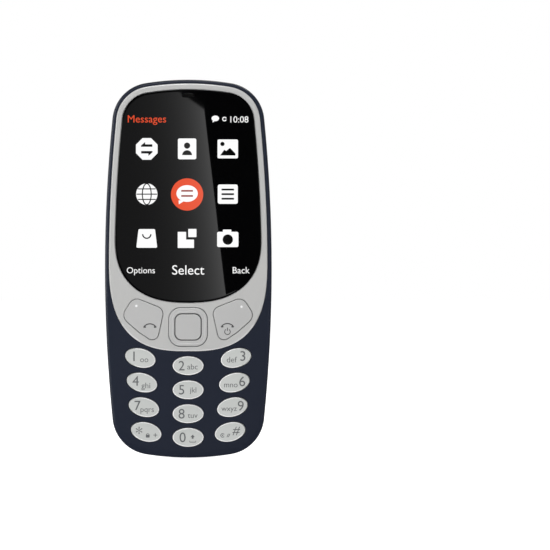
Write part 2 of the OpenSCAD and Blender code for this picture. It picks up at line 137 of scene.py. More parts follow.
def addNode(tree, kind, settings=None, values=None):
    node = tree.nodes.new(kind)
    for key, value in (settings or {}).items():
        if key == "stops":
            ramp = node.color_ramp.elements
            while len(ramp) < len(value):
                ramp.new(0.5)
            for stop, (position, colour) in zip(ramp, value):
                stop.position = position
                stop.color = (*colour, 1)
        else:
            setattr(node, key, value)
    for key, value in (values or {}).items():
        socket = node.inputs[key]
        if isinstance(value, Signal):
            tree.links.new(value.socket, socket)
        elif isinstance(value, bpy.types.NodeSocket):
            tree.links.new(value, socket)
        else:
            socket.default_value = value
    return node


class Signal:
    def __init__(self, tree, socket):
        self.tree = tree
        self.socket = socket

    def math(self, operation, first, second):
        node = addNode(self.tree, "ShaderNodeMath", {"operation": operation}, {0: first, 1: second})
        return Signal(self.tree, node.outputs[0])

    def __add__(self, other):
        return self.math("ADD", self, other)

    __radd__ = __add__

    def __sub__(self, other):
        return self.math("SUBTRACT", self, other)

    def __rsub__(self, other):
        return self.math("SUBTRACT", other, self)

    def __mul__(self, other):
        return self.math("MULTIPLY", self, other)

    __rmul__ = __mul__

    def __gt__(self, other):
        return self.math("GREATER_THAN", self, other)


class Finish:
    def __init__(self, name, **constants):
        self.material = bpy.data.materials.new(name)
        self.material.use_nodes = True
        self.tree = self.material.node_tree
        self.tree.nodes.clear()
        self.shader = addNode(self.tree, "ShaderNodeBsdfPrincipled")
        output = self.tree.nodes.new("ShaderNodeOutputMaterial")
        self.tree.links.new(self.shader.outputs[0], output.inputs[0])
        place = self.tree.nodes.new("ShaderNodeTexCoord")
        self.place = Signal(self.tree, place.outputs["Object"])
        for key, value in constants.items():
            self.feed(key, value)

    def add(self, kind, settings=None, values=None, output=0):
        return Signal(self.tree, addNode(self.tree, kind, settings, values).outputs[output])

    def feed(self, key, value):
        names = {"colour": "Base Color", "coat": "Coat Weight", "coatRoughness": "Coat Roughness",
                 "glow": "Emission Color", "glowStrength": "Emission Strength", "ior": "IOR",
                 "roughness": "Roughness", "metallic": "Metallic", "normal": "Normal"}
        socket = self.shader.inputs[names[key]]
        if isinstance(value, Signal):
            self.tree.links.new(value.socket, socket)
        elif isinstance(value, tuple):
            socket.default_value = (*value, 1)
        else:
            socket.default_value = value

    def noise(self, scale, detail=2, stretch=(1, 1, 1)):
        spread = self.add("ShaderNodeMapping", None, {"Vector": self.place, "Scale": stretch})
        return self.add("ShaderNodeTexNoise", None, {"Vector": spread, "Scale": scale, "Detail": detail})

    def blend(self, factor, first, second):
        values = {0: factor, 6: (*first, 1) if isinstance(first, tuple) else first,
                  7: (*second, 1) if isinstance(second, tuple) else second}
        return self.add("ShaderNodeMix", {"data_type": "RGBA"}, values, 2)

    def relief(self, height, depth, strength=1.0):
        self.feed("normal", self.add("ShaderNodeBump", None, {"Height": height, "Distance": depth / 1000,
                                                              "Strength": strength}))


def shade(colour, factor):
    return tuple(min(1, c * factor) for c in colour)


# a moulded or painted surface: slow drift of colour, fine grain in gloss and relief
def surfaceFinish(name, colour, roughness, metallic=0.0, drift=0.05, grain=5000, depth=0.004, strength=0.35,
                  stretch=(1, 1, 1), gloss=0.06, **constants):
    finish = Finish(name, metallic=metallic, **constants)
    cloud = finish.noise(45)
    fine = finish.noise(grain, 3, stretch)
    tone = cloud * 0.6 + fine * 0.4
    finish.feed("colour", finish.blend(tone, shade(colour, 1 - drift), shade(colour, 1 + drift)))
    finish.feed("roughness", cloud * gloss + fine * gloss + (roughness - gloss))
    finish.relief(fine, depth, strength)
    return finish.material


def screenFinish(name, colour, strength):  # a lit print with the display's own dot grid
    finish = Finish(name, colour=(0.01, 0.01, 0.01), roughness=0.06, glowStrength=strength)
    dots = finish.add("ShaderNodeTexChecker", None, {"Vector": finish.place, "Scale": 13000.0}, 1)
    finish.feed("glow", finish.blend(dots, shade(colour, 0.96), colour))
    return finish.material


def boardFinish():
    finish = Finish("solderResist", roughness=0.3)
    tracks = finish.add("ShaderNodeTexBrick", {"offset": 0.5, "squash": 1.0},
                        {"Vector": finish.add("ShaderNodeMapping", None,
                                              {"Vector": finish.place, "Rotation": (math.pi / 2, 0, 0)}),
                         "Scale": 260.0, "Mortar Size": 0.03, "Color1": (0, 0, 0, 1),
                         "Color2": (0, 0, 0, 1), "Mortar": (1, 1, 1, 1)})
    cloud = finish.noise(300)
    plain = finish.blend(cloud, (0.006, 0.06, 0.03), (0.01, 0.09, 0.045))
    finish.feed("colour", finish.blend(tracks, plain, (0.03, 0.17, 0.08)))
    finish.relief(tracks, 0.02)
    return finish.material


def lensFinish():  # rings of a fresnel lens over the lamp
    finish = Finish("flashLens", roughness=0.22, coat=0.6)
    rings = finish.add("ShaderNodeTexWave", {"wave_type": "RINGS", "rings_direction": "Y"},
                       {"Vector": finish.add("ShaderNodeMapping", None,
                                             {"Vector": finish.place, "Location": flashShift}),
                        "Scale": 900.0})
    finish.feed("colour", finish.blend(rings, (0.68, 0.72, 0.48), (0.9, 0.92, 0.75)))
    return finish.material


flashAt = nodeCentre("flash_lens")
flashShift = (-flashAt.x / 1000, 0, -flashAt.y / 1000)
materials = {
    "navy_housing": surfaceFinish("navyHousing", (0.0088, 0.0138, 0.0305), 0.42, coat=0.1,
                                  coatRoughness=0.3),
    "navy_cover": surfaceFinish("navyCover", (0.031, 0.035, 0.05), 0.46, drift=0.04, depth=0.006,
                                strength=0.5),
    "silver_surround": surfaceFinish("silverSurround", (0.62, 0.62, 0.61), 0.42, 0.35, grain=7000,
                                     drift=0.04),
    "silver_key": surfaceFinish("silverKey", (0.6, 0.6, 0.595), 0.42, 0.35, grain=7000, drift=0.04),
    "oval_key": surfaceFinish("ovalKey", (0.54, 0.555, 0.54), 0.32, 0.1, drift=0.05, coat=0.4,
                              coatRoughness=0.12),
    "window": surfaceFinish("windowGloss", (0.001, 0.001, 0.0012), 0.014, drift=0.1, gloss=0.003,
                            depth=0.0001,
                            strength=0.05),
    "display": surfaceFinish("displayPanel", (0.01, 0.01, 0.012), 0.12, gloss=0.02),
    "light_guide": surfaceFinish("lightGuide", (0.85, 0.85, 0.86), 0.25),
    "sheet_steel": surfaceFinish("tinnedSteel", (0.62, 0.62, 0.64), 0.34, 1.0, grain=2500,
                                 stretch=(1, 1, 12)),
    "dark_plastic": surfaceFinish("darkPlastic", (0.022, 0.022, 0.024), 0.5, depth=0.008),
    "chassis_plastic": surfaceFinish("chassisPlastic", (0.04, 0.042, 0.05), 0.48, depth=0.01),
    "board": boardFinish(),
    "gold_contact": surfaceFinish("goldPlate", (0.83, 0.6, 0.25), 0.24, 1.0),
    "mat_rubber": surfaceFinish("siliconeMat", (0.5, 0.5, 0.53), 0.62, depth=0.012),
    "camera_trim": surfaceFinish("brightTrim", (0.86, 0.86, 0.87), 0.16, 0.85, drift=0.02, depth=0.001,
                                 gloss=0.03),
    "camera_glass": surfaceFinish("cameraGlass", (0.012, 0.012, 0.015), 0.05, gloss=0.01, depth=0.0002,
                                  coat=0.5),
    "lens_clear": lensFinish(),
    "mesh_cloth": surfaceFinish("acousticMesh", (0.012, 0.012, 0.013), 0.75, grain=9000),
    "cell": surfaceFinish("aluminiumCan", (0.7, 0.7, 0.72), 0.3, 1.0, grain=2200, stretch=(14, 1, 1)),
    "wrap": surfaceFinish("batteryWrap", (0.62, 0.62, 0.61), 0.38, drift=0.03),
    "screw_steel": surfaceFinish("blackSteel", (0.28, 0.28, 0.3), 0.32, 1.0, grain=3500),
}
# painted highlight: a brighter, glossier paint for the keys' rounded rims, standing in for the light they
# catch
keyRimHighlight = surfaceFinish("keyRimHighlight", (0.93, 0.93, 0.93), 0.2, 0.05, drift=0.02, coat=0.5, coatRoughness=0.08)
gapShade = surfaceFinish("gapShade", (0.06, 0.06, 0.062), 0.6)
# painted highlight: a brighter paint for the surround's rounded and chamfered edges, standing in for the
# light they catch
surroundLipHighlight = surfaceFinish("surroundLipHighlight", (0.84, 0.84, 0.84), 0.25, 0.3, drift=0.02)
legendInk = surfaceFinish("legendInk", (0.11, 0.115, 0.12), 0.4)
symbolInk = surfaceFinish("symbolInk", (0.07, 0.07, 0.072), 0.4)
labelInk = surfaceFinish("labelInk", (0.05, 0.06, 0.1), 0.45)
whiteLight = screenFinish("whiteLight", (1.0, 1.0, 1.0), 1.0)
orangeLight = screenFinish("orangeLight", (0.8, 0.07, 0.014), 1.0)
blackLight = surfaceFinish("blackDots", (0.002, 0.002, 0.002), 0.06, gloss=0.01)


def addSurroundings():
    world = bpy.data.worlds.new("studio")
    scene.world = world
    world.use_nodes = True
    tree = world.node_tree
    tree.nodes.clear()
    rays = addNode(tree, "ShaderNodeLightPath")
    camera = Signal(tree, rays.outputs["Is Camera Ray"])
    gloss = Signal(tree, rays.outputs["Is Glossy Ray"])
    ambient = studio["ambient"]
    level = camera * (1 - ambient) + gloss * (studio["dark"] - ambient) + ambient
    glow = addNode(tree, "ShaderNodeBackground", None, {"Color": (1, 1, 1, 1), "Strength": level})
    output = tree.nodes.new("ShaderNodeOutputWorld")
    tree.links.new(glow.outputs[0], output.inputs[0])
    paint = Finish("paleFloor", roughness=0.9, glowStrength=studio["floorGlow"], glow=(1.0, 1.0, 1.0))
    paint.feed("colour", paint.blend(paint.noise(2), (0.9, 0.9, 0.9), (0.92, 0.92, 0.92)))
    mesh = bpy.data.meshes.new("floor")
    reach = 12
    corners = [(-reach, -reach, 0), (reach, -reach, 0), (reach, reach, 0), (-reach, reach, 0)]
    mesh.from_pydata(corners, [], [(0, 1, 2, 3)])
    mesh.materials.append(paint.material)
    floor = bpy.data.objects.new("floor", mesh)
    floor.visible_glossy = False
    scene.collection.objects.link(floor)


# a soft light card that only the polished window mirrors, with a slanted bright edge
card = {"behind": 2.35, "topEdge": (4.9, 106.4), "lowEdge": (11.1, 52.9), "topCorner": (-4.2, 113.0),
        "brightness": 1.45, "fade": 6.5, "base": 0.13}


def mirroredPoint(x, z):  # where the view of a window point lands, a distance behind the lens's plane
    away = card["behind"] * 1000
    eye = Vector(studio["camera"])
    across = (x - eye.x) / -eye.y + 2 * x / body["crownRadius"]
    return Vector((x + away * across, z + away * (z - eye.z) / -eye.y)) / 1000


def addLightCard():
    top, bottom = mirroredPoint(*card["topEdge"]), mirroredPoint(*card["lowEdge"])
    along = (top - bottom).normalized()
    start, tip = bottom - along * 0.25, mirroredPoint(*card["topCorner"])
    fade = (mirroredPoint(card["fade"], 0) - mirroredPoint(0, 0)).x
    width = 0.8
    outline = [start - Vector((width, 0)), start, top, tip, tip - Vector((width - (top.x - tip.x), 0))]
    shares = [1 + ((p - bottom).x - (p - bottom).y * along.x / along.y) / width for p in outline]
    mesh = bpy.data.meshes.new("lightCard")
    mesh.from_pydata([(p.x, -card["behind"], p.y) for p in outline], [], [tuple(range(len(outline)))])
    across = mesh.uv_layers.new(name="across")
    for corner, u in zip(across.data, shares):
        corner.uv = (u, 0.5)
    glow = bpy.data.materials.new("cardGlow")
    glow.use_nodes = True
    tree = glow.node_tree
    tree.nodes.clear()
    place = addNode(tree, "ShaderNodeUVMap", {"uv_map": "across"})
    split = addNode(tree, "ShaderNodeSeparateXYZ", None, {0: place.outputs[0]})
    near = Signal(tree, split.outputs[0])
    level = (near.math("POWER", math.e, (near - 1) * (width / fade)) + card["base"]) * card["brightness"]
    lamp = addNode(tree, "ShaderNodeEmission", None, {"Strength": level})
    output = tree.nodes.new("ShaderNodeOutputMaterial")
    tree.links.new(lamp.outputs[0], output.inputs[0])
    mesh.materials.append(glow)
    panel = bpy.data.objects.new("lightCard", mesh)
    panel.visible_camera = False
    panel.visible_diffuse = False
    panel.visible_shadow = False
    scene.collection.objects.link(panel)


addSurroundings()
addLightCard()
print("materials, world, floor and light card: done")


# outlines in the front plane: anticlockwise lists of (x, z)


def bodyArcs(steps=(8, 18, 12)):
    halfLength = middle
    sideCentre = Vector((halfWidth - body["sideRadius"], 0))
    endCentre = Vector((0, halfLength - body["endRadius"]))
    gap = (endCentre - sideCentre).length
    along = (endCentre - sideCentre) / gap
    sideReach = body["sideRadius"] - body["cornerRadius"]
    endReach = body["endRadius"] - body["cornerRadius"]
    foot = (sideReach**2 - endReach**2 + gap**2) / (2 * gap)
    rise = math.sqrt(sideReach**2 - foot**2)
    corner = sideCentre + along * foot + Vector((-along.y, along.x)) * rise
    turnA = math.atan2(corner.y, corner.x - sideCentre.x)
    turnB = math.atan2(corner.y - endCentre.y, corner.x)
    quarter = []
    arcs = ((sideCentre, body["sideRadius"], 0, turnA), (corner, body["cornerRadius"], turnA, turnB),
            (endCentre, body["endRadius"], turnB, math.pi / 2))
    for (centre, radius, first, last), count in zip(arcs, steps):
        for k in range(count):
            angle = first + (last - first) * k / count
            outward = Vector((math.cos(angle), math.sin(angle)))
            quarter.append((centre + outward * radius, outward))
    quarter.append((Vector((0, halfLength)), Vector((0, 1))))

    def turned(pairs, sx, sz):
        return [(Vector((p.x * sx, p.y * sz)), Vector((d.x * sx, d.y * sz))) for p, d in pairs]

    loop = quarter + turned(quarter[-2::-1], -1, 1) + turned(quarter[1:], -1, -1)
    loop += turned(quarter[-2:0:-1], 1, -1)
    lift = Vector((0, middle))
    return [(p + lift, d) for p, d in loop]


edge = bodyArcs()


def bodyLoop(inset):
    return [p - d * inset for p, d in edge]


# body outline above a height, closed below by a superellipse
def shieldLoop(inset, low, joinZ, power, steps=40):
    top = [p - d * inset for p, d in edge if p.y > joinZ + 1.2]
    first = next(i for i, (p, d) in enumerate(edge) if p.y > joinZ + 1.2)
    if first > 0:  # the loop starts at the right-hand side and runs over the top
        top = [p - d * inset for p, d in edge[first:] if p.y > joinZ + 1.2]
    wide = halfWidth - inset - (joinZ - middle) ** 2 / (2 * body["sideRadius"])
    high = joinZ - low
    for k in range(2 * steps + 1):
        angle = math.pi + math.pi * k / (2 * steps)
        c, s = math.cos(angle), math.sin(angle)
        top.append(Vector((math.copysign(wide * abs(c) ** (2 / power), c),
                           joinZ + high * math.copysign(abs(s) ** (2 / power), s))))
    return top


# corner points with a radius each; straight edges get points of their own
def roundedLoop(points, radii, steps=8, edgeSteps=1):
    arcs = []
    count = len(points)
    for i, (p, radius) in enumerate(zip(points, radii)):
        u = (points[i - 1] - p).normalized()
        v = (points[(i + 1) % count] - p).normalized()
        half = math.acos(u.dot(v)) / 2
        inward = (u + v).normalized()
        centre = p + inward * radius / math.sin(half)
        towards = math.atan2(-inward.y, -inward.x)
        sweep = math.pi / 2 - half
        angles = [towards + sweep * k / steps for k in range(-steps, steps + 1)]
        arcs.append([centre + Vector((math.cos(a), math.sin(a))) * radius for a in angles])
    loop = []
    for i, arc in enumerate(arcs):
        following = arcs[(i + 1) % count][0]
        loop += arc
        loop += [arc[-1].lerp(following, k / edgeSteps) for k in range(1, edgeSteps)]
    return loop


def squareLoop(centre, width, radius, edgeSteps=8):
    h = width / 2
    corners = [centre + Vector(c) for c in ((h, h), (-h, h), (-h, -h), (h, -h))]
    return roundedLoop(corners, [radius] * 4, edgeSteps=edgeSteps)


def ovalLoop(centre, length, height, tilt=0.0, count=72):
    turn = Matrix.Rotation(tilt, 2)
    angles = [2 * math.pi * k / count for k in range(count)]
    return [centre + turn @ Vector((length / 2 * math.cos(a), height / 2 * math.sin(a))) for a in angles]


def stadiumLoop(centre, length, height, count=12):
    r = height / 2
    loop = []
    for side, start in ((1, -90), (-1, 90)):
        for k in range(count + 1):
            a = math.radians(start + 180 * k / count)
            loop.append(centre + Vector((side * (length / 2 - r) + r * math.cos(a), r * math.sin(a))))
    return loop


def offsetLoop(loop, distance):  # inwards, or outwards where distance is negative
    moved = []
    count = len(loop)
    for i, p in enumerate(loop):
        a = (p - loop[i - 1]).normalized()
        b = (loop[(i + 1) % count] - p).normalized()
        side = Vector((-a.y, a.x))
        aim = (side + Vector((-b.y, b.x))).normalized()
        moved.append(p + aim * (distance / max(aim.dot(side), 0.4)))
    return moved


def finerLoop(loop, step):
    fine = []
    for i, p in enumerate(loop):
        following = loop[(i + 1) % len(loop)]
        parts = max(1, math.ceil((following - p).length / step))
        fine += [p.lerp(following, k / parts) for k in range(parts)]
    return fine


def middleOf(loop):
    xs, zs = [p.x for p in loop], [p.y for p in loop]
    return Vector(((min(xs) + max(xs)) / 2, (min(zs) + max(zs)) / 2))


def crown(x, crest, radius=body["crownRadius"]):
    return crest + radius - math.sqrt(radius**2 - x**2)


def seamY(x):
    return crown(x, body["seamCrest"], body["seamRadius"])


def at(p, y):
    return (p.x, y, p.y)


# meshes


def meshPiece(name, verts, faces):
    mesh = bpy.data.meshes.new(name)
    mesh.from_pydata(verts, [], faces)
    piece = bpy.data.objects.new(name, mesh)
    scene.collection.objects.link(piece)
    pointOutwards(piece)
    return piece


def pointOutwards(piece, merge=0.0):
    work = bmesh.new()
    work.from_mesh(piece.data)
    if merge:
        bmesh.ops.remove_doubles(work, verts=work.verts, dist=merge)
    bmesh.ops.recalc_face_normals(work, faces=work.faces)
    work.to_mesh(piece.data)
    work.free()


def loft(name, rings, looped=False):
    count = len(rings[0])
    verts = [tuple(p) for ring in rings for p in ring]
    faces = []
    for k in range(len(rings) if looped else len(rings) - 1):
        a, b = k * count, (k + 1) % len(rings) * count
        faces += [(a + i, a + (i + 1) % count, b + (i + 1) % count, b + i) for i in range(count)]
    if not looped:
        for start in (0, (len(rings) - 1) * count):
            ring = verts[start:start + count]
            hub = len(verts)
            verts.append(tuple(sum(c) / count for c in zip(*ring)))
            faces += [(start + i, start + (i + 1) % count, hub) for i in range(count)]
    return meshPiece(name, verts, faces)


def arcSteps(radius, steps=6):  # (inset, drop) from the side wall over to the top
    turns = [math.pi / 2 * k / steps for k in range(steps + 1)]
    return [(radius * (1 - math.cos(a)), radius * (1 - math.sin(a))) for a in turns]


# a solid with a crowned front, a rounded front edge and rings of its own behind
def crownedRings(loop, crest, fillet, dome=0.0, rings=14, hub=None, facing=1, crowned=True):
    hub = hub or middleOf(loop)

    def front(p, share):
        rise = crown(p.x, 0) if crowned else 0
        return crest + facing * (rise + dome * share**2)

    stack = [[at(p, front(p, 1) + facing * drop) for p in offsetLoop(loop, inset)]
             for inset, drop in arcSteps(fillet)]
    inner = offsetLoop(loop, fillet)
    shares = [0.985] + [1 - (k + 0.9) / (rings + 0.4) for k in range(rings)]
    for share in shares:
        ring = [hub + (p - hub) * share for p in inner]
        stack.append([at(p, front(p, share)) for p in ring])
    return stack


def crownedSolid(name, loop, crest, backs, fillet=0.25, **shape):
    behind = [[at(p, y) for p in offsetLoop(loop, -grow)] for grow, y in backs]
    return loft(name, behind + crownedRings(loop, crest, fillet, **shape))


def boxPiece(name, low, high):
    xs, ys, zs = zip(low, high)
    verts = [(x, y, z) for x in xs for y in ys for z in zs]
    faces = [(0, 1, 3, 2), (4, 6, 7, 5), (0, 4, 5, 1), (2, 3, 7, 6), (0, 2, 6, 4), (1, 5, 7, 3)]
    return meshPiece(name, verts, faces)


def postPiece(name, centre, low, high, radius, count=32, axis="Y"):
    ring = ovalLoop(centre, 2 * radius, 2 * radius, count=count)
    place = at if axis == "Y" else (lambda p, y: (p.x, p.y, y))
    return loft(name, [[place(p, low) for p in ring], [place(p, high) for p in ring]])


# a cutter through the front whose mouth opens at 45 degrees along the crowned surface
def flaredCutter(loop, crest, depth, flare=0.12, radius=body["crownRadius"], over=0.3):
    mouth = offsetLoop(loop, -(flare + over))
    return loft("cutter", [
        [at(p, depth) for p in loop],
        [at(p, crown(p.x, crest, radius) + flare) for p in loop],
        [at(p, crown(p.x, crest, radius) - over) for p in mouth],
        [at(p, crest - 1.5) for p in mouth]])


def flatCutter(loop, face, depth, flare=0.12):  # the same through the flat back
    mouth = offsetLoop(loop, -(flare + 0.4))
    return loft("cutter", [[at(p, depth) for p in loop], [at(p, face - flare) for p in loop],
                           [at(p, face + 0.4) for p in mouth]])


def bakeModifiers(piece):
    graph = bpy.context.evaluated_depsgraph_get()
    graph.update()
    plain = bpy.data.meshes.new_from_object(piece.evaluated_get(graph))
    piece.modifiers.clear()
    piece.data = plain


def combine(piece, others, operation="DIFFERENCE"):
    for other in others:
        step = piece.modifiers.new("combine", "BOOLEAN")
        step.operation = operation
        step.solver = "EXACT"
        step.object = other
    bakeModifiers(piece)
    for other in others:
        bpy.data.objects.remove(other)
    return piece


def finishPiece(piece, bodyName, slot, nodes=(), material=None, sharp=32, scale=0.001):
    if scale != 1:
        piece.data.transform(Matrix.Scale(scale, 4))
    piece.data.materials.clear()
    piece.data.materials.append(material or materials[slot])
    piece.data.polygons.foreach_set("material_index", [0] * len(piece.data.polygons))
    piece.data.polygons.foreach_set("use_smooth", [True] * len(piece.data.polygons))
    piece.data.set_sharp_from_angle(angle=math.radians(sharp))
    piece.data.update()
    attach(piece, bodyName)
    if nodes:
        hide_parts(*nodes)
    return piece


# a second paint on the faces that face forwards between two amounts, in front of a depth: painted
# highlights on rims and painted shade on gap walls
def paintFacing(piece, material, deepest, least, most):
    piece.data.materials.append(material)
    for face in piece.data.polygons:
        if face.center.y * 1000 < deepest and least < -face.normal.y < most:
            face.material_index = len(piece.data.materials) - 1


# prints: filled flat shapes laid on a surface, each a thin closed solid


def curveFrom(name, loops):
    data = bpy.data.curves.new(name, "CURVE")
    data.dimensions = "2D"
    data.fill_mode = "BOTH"
    for loop in loops:
        line = data.splines.new("POLY")
        line.points.add(len(loop) - 1)
        for point, p in zip(line.points, loop):
            point.co = (p[0], p[1], 0, 1)
        line.use_cyclic_u = True
    return data


def textCurve(name, words):
    data = bpy.data.curves.new(name, "FONT")
    data.body = words
    data.size = 4
    data.resolution_u = 4
    return data


def layOn(name, curve, surface, lift=0.012, step=0.8, facing=-1, fit=None, slant=0.0):
    curve.extrude = 1
    drawn = bpy.data.objects.new("drawn", curve)
    scene.collection.objects.link(drawn)
    graph = bpy.context.evaluated_depsgraph_get()
    graph.update()
    mesh = bpy.data.meshes.new_from_object(drawn.evaluated_get(graph))
    bpy.data.objects.remove(drawn)
    if fit:  # centre, and the width or height it is scaled to
        xs, ys = [v.co.x for v in mesh.vertices], [v.co.y for v in mesh.vertices]
        span = (max(xs) - min(xs), max(ys) - min(ys))
        scaleX = fit["width"] / span[0] if "width" in fit else fit["height"] / span[1]
        scaleY = fit["height"] / span[1] if "height" in fit else scaleX
        for v in mesh.vertices:
            u, w = v.co.x - (max(xs) + min(xs)) / 2, v.co.y - (max(ys) + min(ys)) / 2
            v.co.x = fit["centre"][0] + u * scaleX + slant * w * scaleY
            v.co.y = fit["centre"][1] + w * scaleY
    work = bmesh.new()
    work.from_mesh(mesh)
    bmesh.ops.remove_doubles(work, verts=work.verts, dist=0.0005)
    for axis in (0, 1):
        spread = [v.co[axis] for v in work.verts]
        for k in range(math.ceil(min(spread) / step), math.ceil(max(spread) / step)):
            place, normal = Vector((0, 0, 0)), Vector((0, 0, 0))
            place[axis], normal[axis] = k * step, 1
            everything = list(work.verts) + list(work.edges) + list(work.faces)
            bmesh.ops.bisect_plane(work, geom=everything, plane_co=place, plane_no=normal, dist=1e-5)
    for v in work.verts:
        x, z, front = v.co.x, v.co.y, v.co.z > 0
        v.co = Vector((x, surface(x, z) + facing * (lift if front else -0.05), z))
    bmesh.ops.recalc_face_normals(work, faces=work.faces)
    work.to_mesh(mesh)
    work.free()
    piece = bpy.data.objects.new(name, mesh)
    scene.collection.objects.link(piece)
    return piece


def strokeLoop(points, width):  # a line of even width with square ends
    left, right = [], []
    for i, p in enumerate(points):
        before, after = points[max(i - 1, 0)], points[min(i + 1, len(points) - 1)]
        along = (Vector(after) - Vector(before)).normalized()
        side = Vector((-along.y, along.x)) * (width / 2)
        left.append(Vector(p) + side)
        right.append(Vector(p) - side)
    return left + right[::-1]


def discLoop(x, z, radius, count=40):
    return ovalLoop(Vector((x, z)), 2 * radius, 2 * radius, count=count)


def barLoop(x, z, width, height, radius=0.25):
    h, v = width / 2, height / 2
    corners = [Vector((x + a * h, z + b * v)) for a, b in ((1, 1), (-1, 1), (-1, -1), (1, -1))]
    return roundedLoop(corners, [min(radius, h * 0.99, v * 0.99)] * 4, steps=3)


def arcPoints(x, z, radius, start, end, count=16):
    angles = [math.radians(start + (end - start) * k / count) for k in range(count + 1)]
    return [Vector((x + radius * math.cos(a), z + radius * math.sin(a))) for a in angles]


# back cover

coverShape = {
    "waistFront": 1.0,
    "waistBack": 1.6,
    "back": 6.2,
    "frontRound": 1.5,
    "frontDepth": 9.3,
    "frontPower": 2.2,
    "backRound": 9.5,
    "backPower": 2.3,
    "wall": 1.0,
    "lip": 0.14,
    "crown": 0.12,
    "hookHeights": (26, 57.8, 90),
    "slots": ((10, 99), (10, 101.4), (10, 103.8)),
}


def coverInset(y):
    s = coverShape
    reach = max(0, (s["waistFront"] - y) / s["frontDepth"])
    return s["frontRound"] * (1 - (1 - reach ** s["frontPower"]) ** (1 / s["frontPower"]))


def coverRing(seamGap, inset, share):  # share 0 at the seam, 1 at the waist
    ring = []
    for p, d in edge:
        y = seamY(p.x) + seamGap
        y += (coverShape["waistFront"] - y) * share
        q = p - d * (inset + coverInset(y))
        ring.append(at(q, y))
    return ring


def coverBackRings(wall, back, turns):
    s = coverShape
    rings = []
    for turn in turns:
        c, q = math.cos(math.radians(turn)), math.sin(math.radians(turn))
        inset = wall + (s["backRound"] - wall) * (1 - max(c, 0) ** (2 / s["backPower"]))
        y = s["waistBack"] + (back - s["waistBack"]) * q ** (2 / s["backPower"])
        rings.append([at(p, y) for p in bodyLoop(inset)])
    return rings


def buildBackCover():
    s = coverShape
    hub = Vector((0, middle))
    shares = [0, 0.12, 0.28, 0.46, 0.64, 0.82, 1]
    turns = [0, 8, 16, 25, 34, 43, 51, 58, 65, 71, 77, 82, 86, 90]
    inner = coverBackRings(s["wall"], s["back"] - s["wall"], turns[:-1:2] + [90])
    rings = [[at(hub + (p - hub) * 0.3, s["back"] - s["wall"]) for p in bodyLoop(s["backRound"])]]
    rings += inner[::-1]
    rings += [coverRing(0.1, s["wall"], share) for share in shares[::-1]]
    lip = s["lip"]
    rings += [coverRing(0.03, s["wall"] - 0.05, 0), coverRing(0, s["wall"] - 0.15, 0), coverRing(0, lip, 0)]
    rings += [coverRing(drop, inset, 0) for inset, drop in arcSteps(lip, 3)[::-1][1:]]
    rings += [coverRing(lip, 0, share) for share in shares[1:]]
    rings += coverBackRings(0, s["back"], turns)
    flat = bodyLoop(s["backRound"])
    for share in (0.93, 0.86, 0.78, 0.69, 0.59, 0.48, 0.36, 0.24, 0.12, 0.05):
        y = s["back"] + s["crown"] * (1 - share**2) ** 2
        rings.append([at(hub + (p - hub) * share, y) for p in flat])
    shell = loft("backCover", rings)
    hooks = []
    for z in s["hookHeights"]:
        side = halfWidth - (z - middle) ** 2 / (2 * body["sideRadius"])
        for sign in (-1, 1):
            ends = ((side - 0.9, 0.9, 2.2), (side - 1.9, 1.0, 2.1), (side - 2.35, 1.25, 1.85))
            stack = [[(sign * x, low, z - 2.4), (sign * x, high, z - 2.4), (sign * x, high, z + 2.4),
                      (sign * x, low, z + 2.4)] for x, low, high in ends]
            hooks.append(loft("hook", stack))
    combine(shell, hooks, "UNION")
    back = s["back"] + 0.06
    flash = nodeCentre("flash_lens")
    cuts = [flatCutter(squareLoop(cameraAt, 13.5, 5.0), back, 3, 0.1),
            flatCutter(discLoop(flash.x, flash.y, 1.75), back, 3, 0.1)]
    cuts += [flatCutter(stadiumLoop(Vector(c), 3.0, 1.4), back, 4, 0.15) for c in s["slots"]]
    cuts += [postPiece("cut", Vector((-6.5, 0.4)), -2, 4, 3, axis="Z"),
             postPiece("cut", Vector((6.7, -2.05)), -2, 4, 0.45, axis="Z"),
             boxPiece("cut", (-4.4, -1, 112), (4.4, 2.6, 117))]
    combine(shell, cuts)
    finishPiece(shell, "cover", "navy_cover", ["back_cover"])


cameraAt = nodeCentre("camera_window")
buildBackCover()
print("back cover: done")

# front housing

housingShape = {"crest": -6, "rim": 0.3, "round": 0.6, "floor": -3.4, "skirtOuter": 1.8, "skirtInner": 2.4,
                "skirtEnd": 0.5, "keyFlare": 0.14, "boardFront": -1.6, "bottomRoll": 3.2}
keyShape = {"length": 9.4, "height": 5.7, "gap": 0.16, "crest": -6.4, "fillet": 0.32, "dome": 0.14}
keySpots = {
    "key_1": (-14.6, 30.55, 14), "key_2": (0, 28.2, 0), "key_3": (14.6, 30.55, -14),
    "key_4": (-14.1, 23.05, 14), "key_5": (0, 20.85, 0), "key_6": (14.1, 23.05, -14),
    "key_7": (-13.5, 15.55, 14), "key_8": (0, 13.55, 0), "key_9": (13.5, 15.55, -14),
    "key_star": (-12.8, 8, 14), "key_0": (0, 6.35, 0), "key_hash": (12.8, 8, -14),
}
functionShape = {
    "corners": ((-7.3, 45.4), (-16.6, 49.1), (-20.35, 43.14), (-15.1, 38.5), (-9.65, 34.85)),
    "radii": (2.4, 2.6, 2.7, 9, 2),
    "posts": ((-11, 38.6), (-16, 44.4)),
    "crest": -6.38,
}
navigation = {"at": (0, 40), "ringWidth": 11.7, "ringRadius": 3.5, "selectWidth": 7.9, "selectRadius": 2.0}
navAt = Vector(navigation["at"])


def keyLoop(name, grow=0.0, count=72):
    x, z, tilt = keySpots[name]
    s = keyShape
    return ovalLoop(Vector((x, z)), s["length"] + 2 * grow, s["height"] + 2 * grow, -math.radians(tilt),
                    count)


def functionLoop(side, grow=0.0):
    s = functionShape
    loop = roundedLoop([Vector(c) for c in s["corners"]], s["radii"], steps=8, edgeSteps=6)
    if grow:
        loop = offsetLoop(loop, -grow)
    return loop if side < 0 else [Vector((-p.x, p.y)) for p in loop[::-1]]


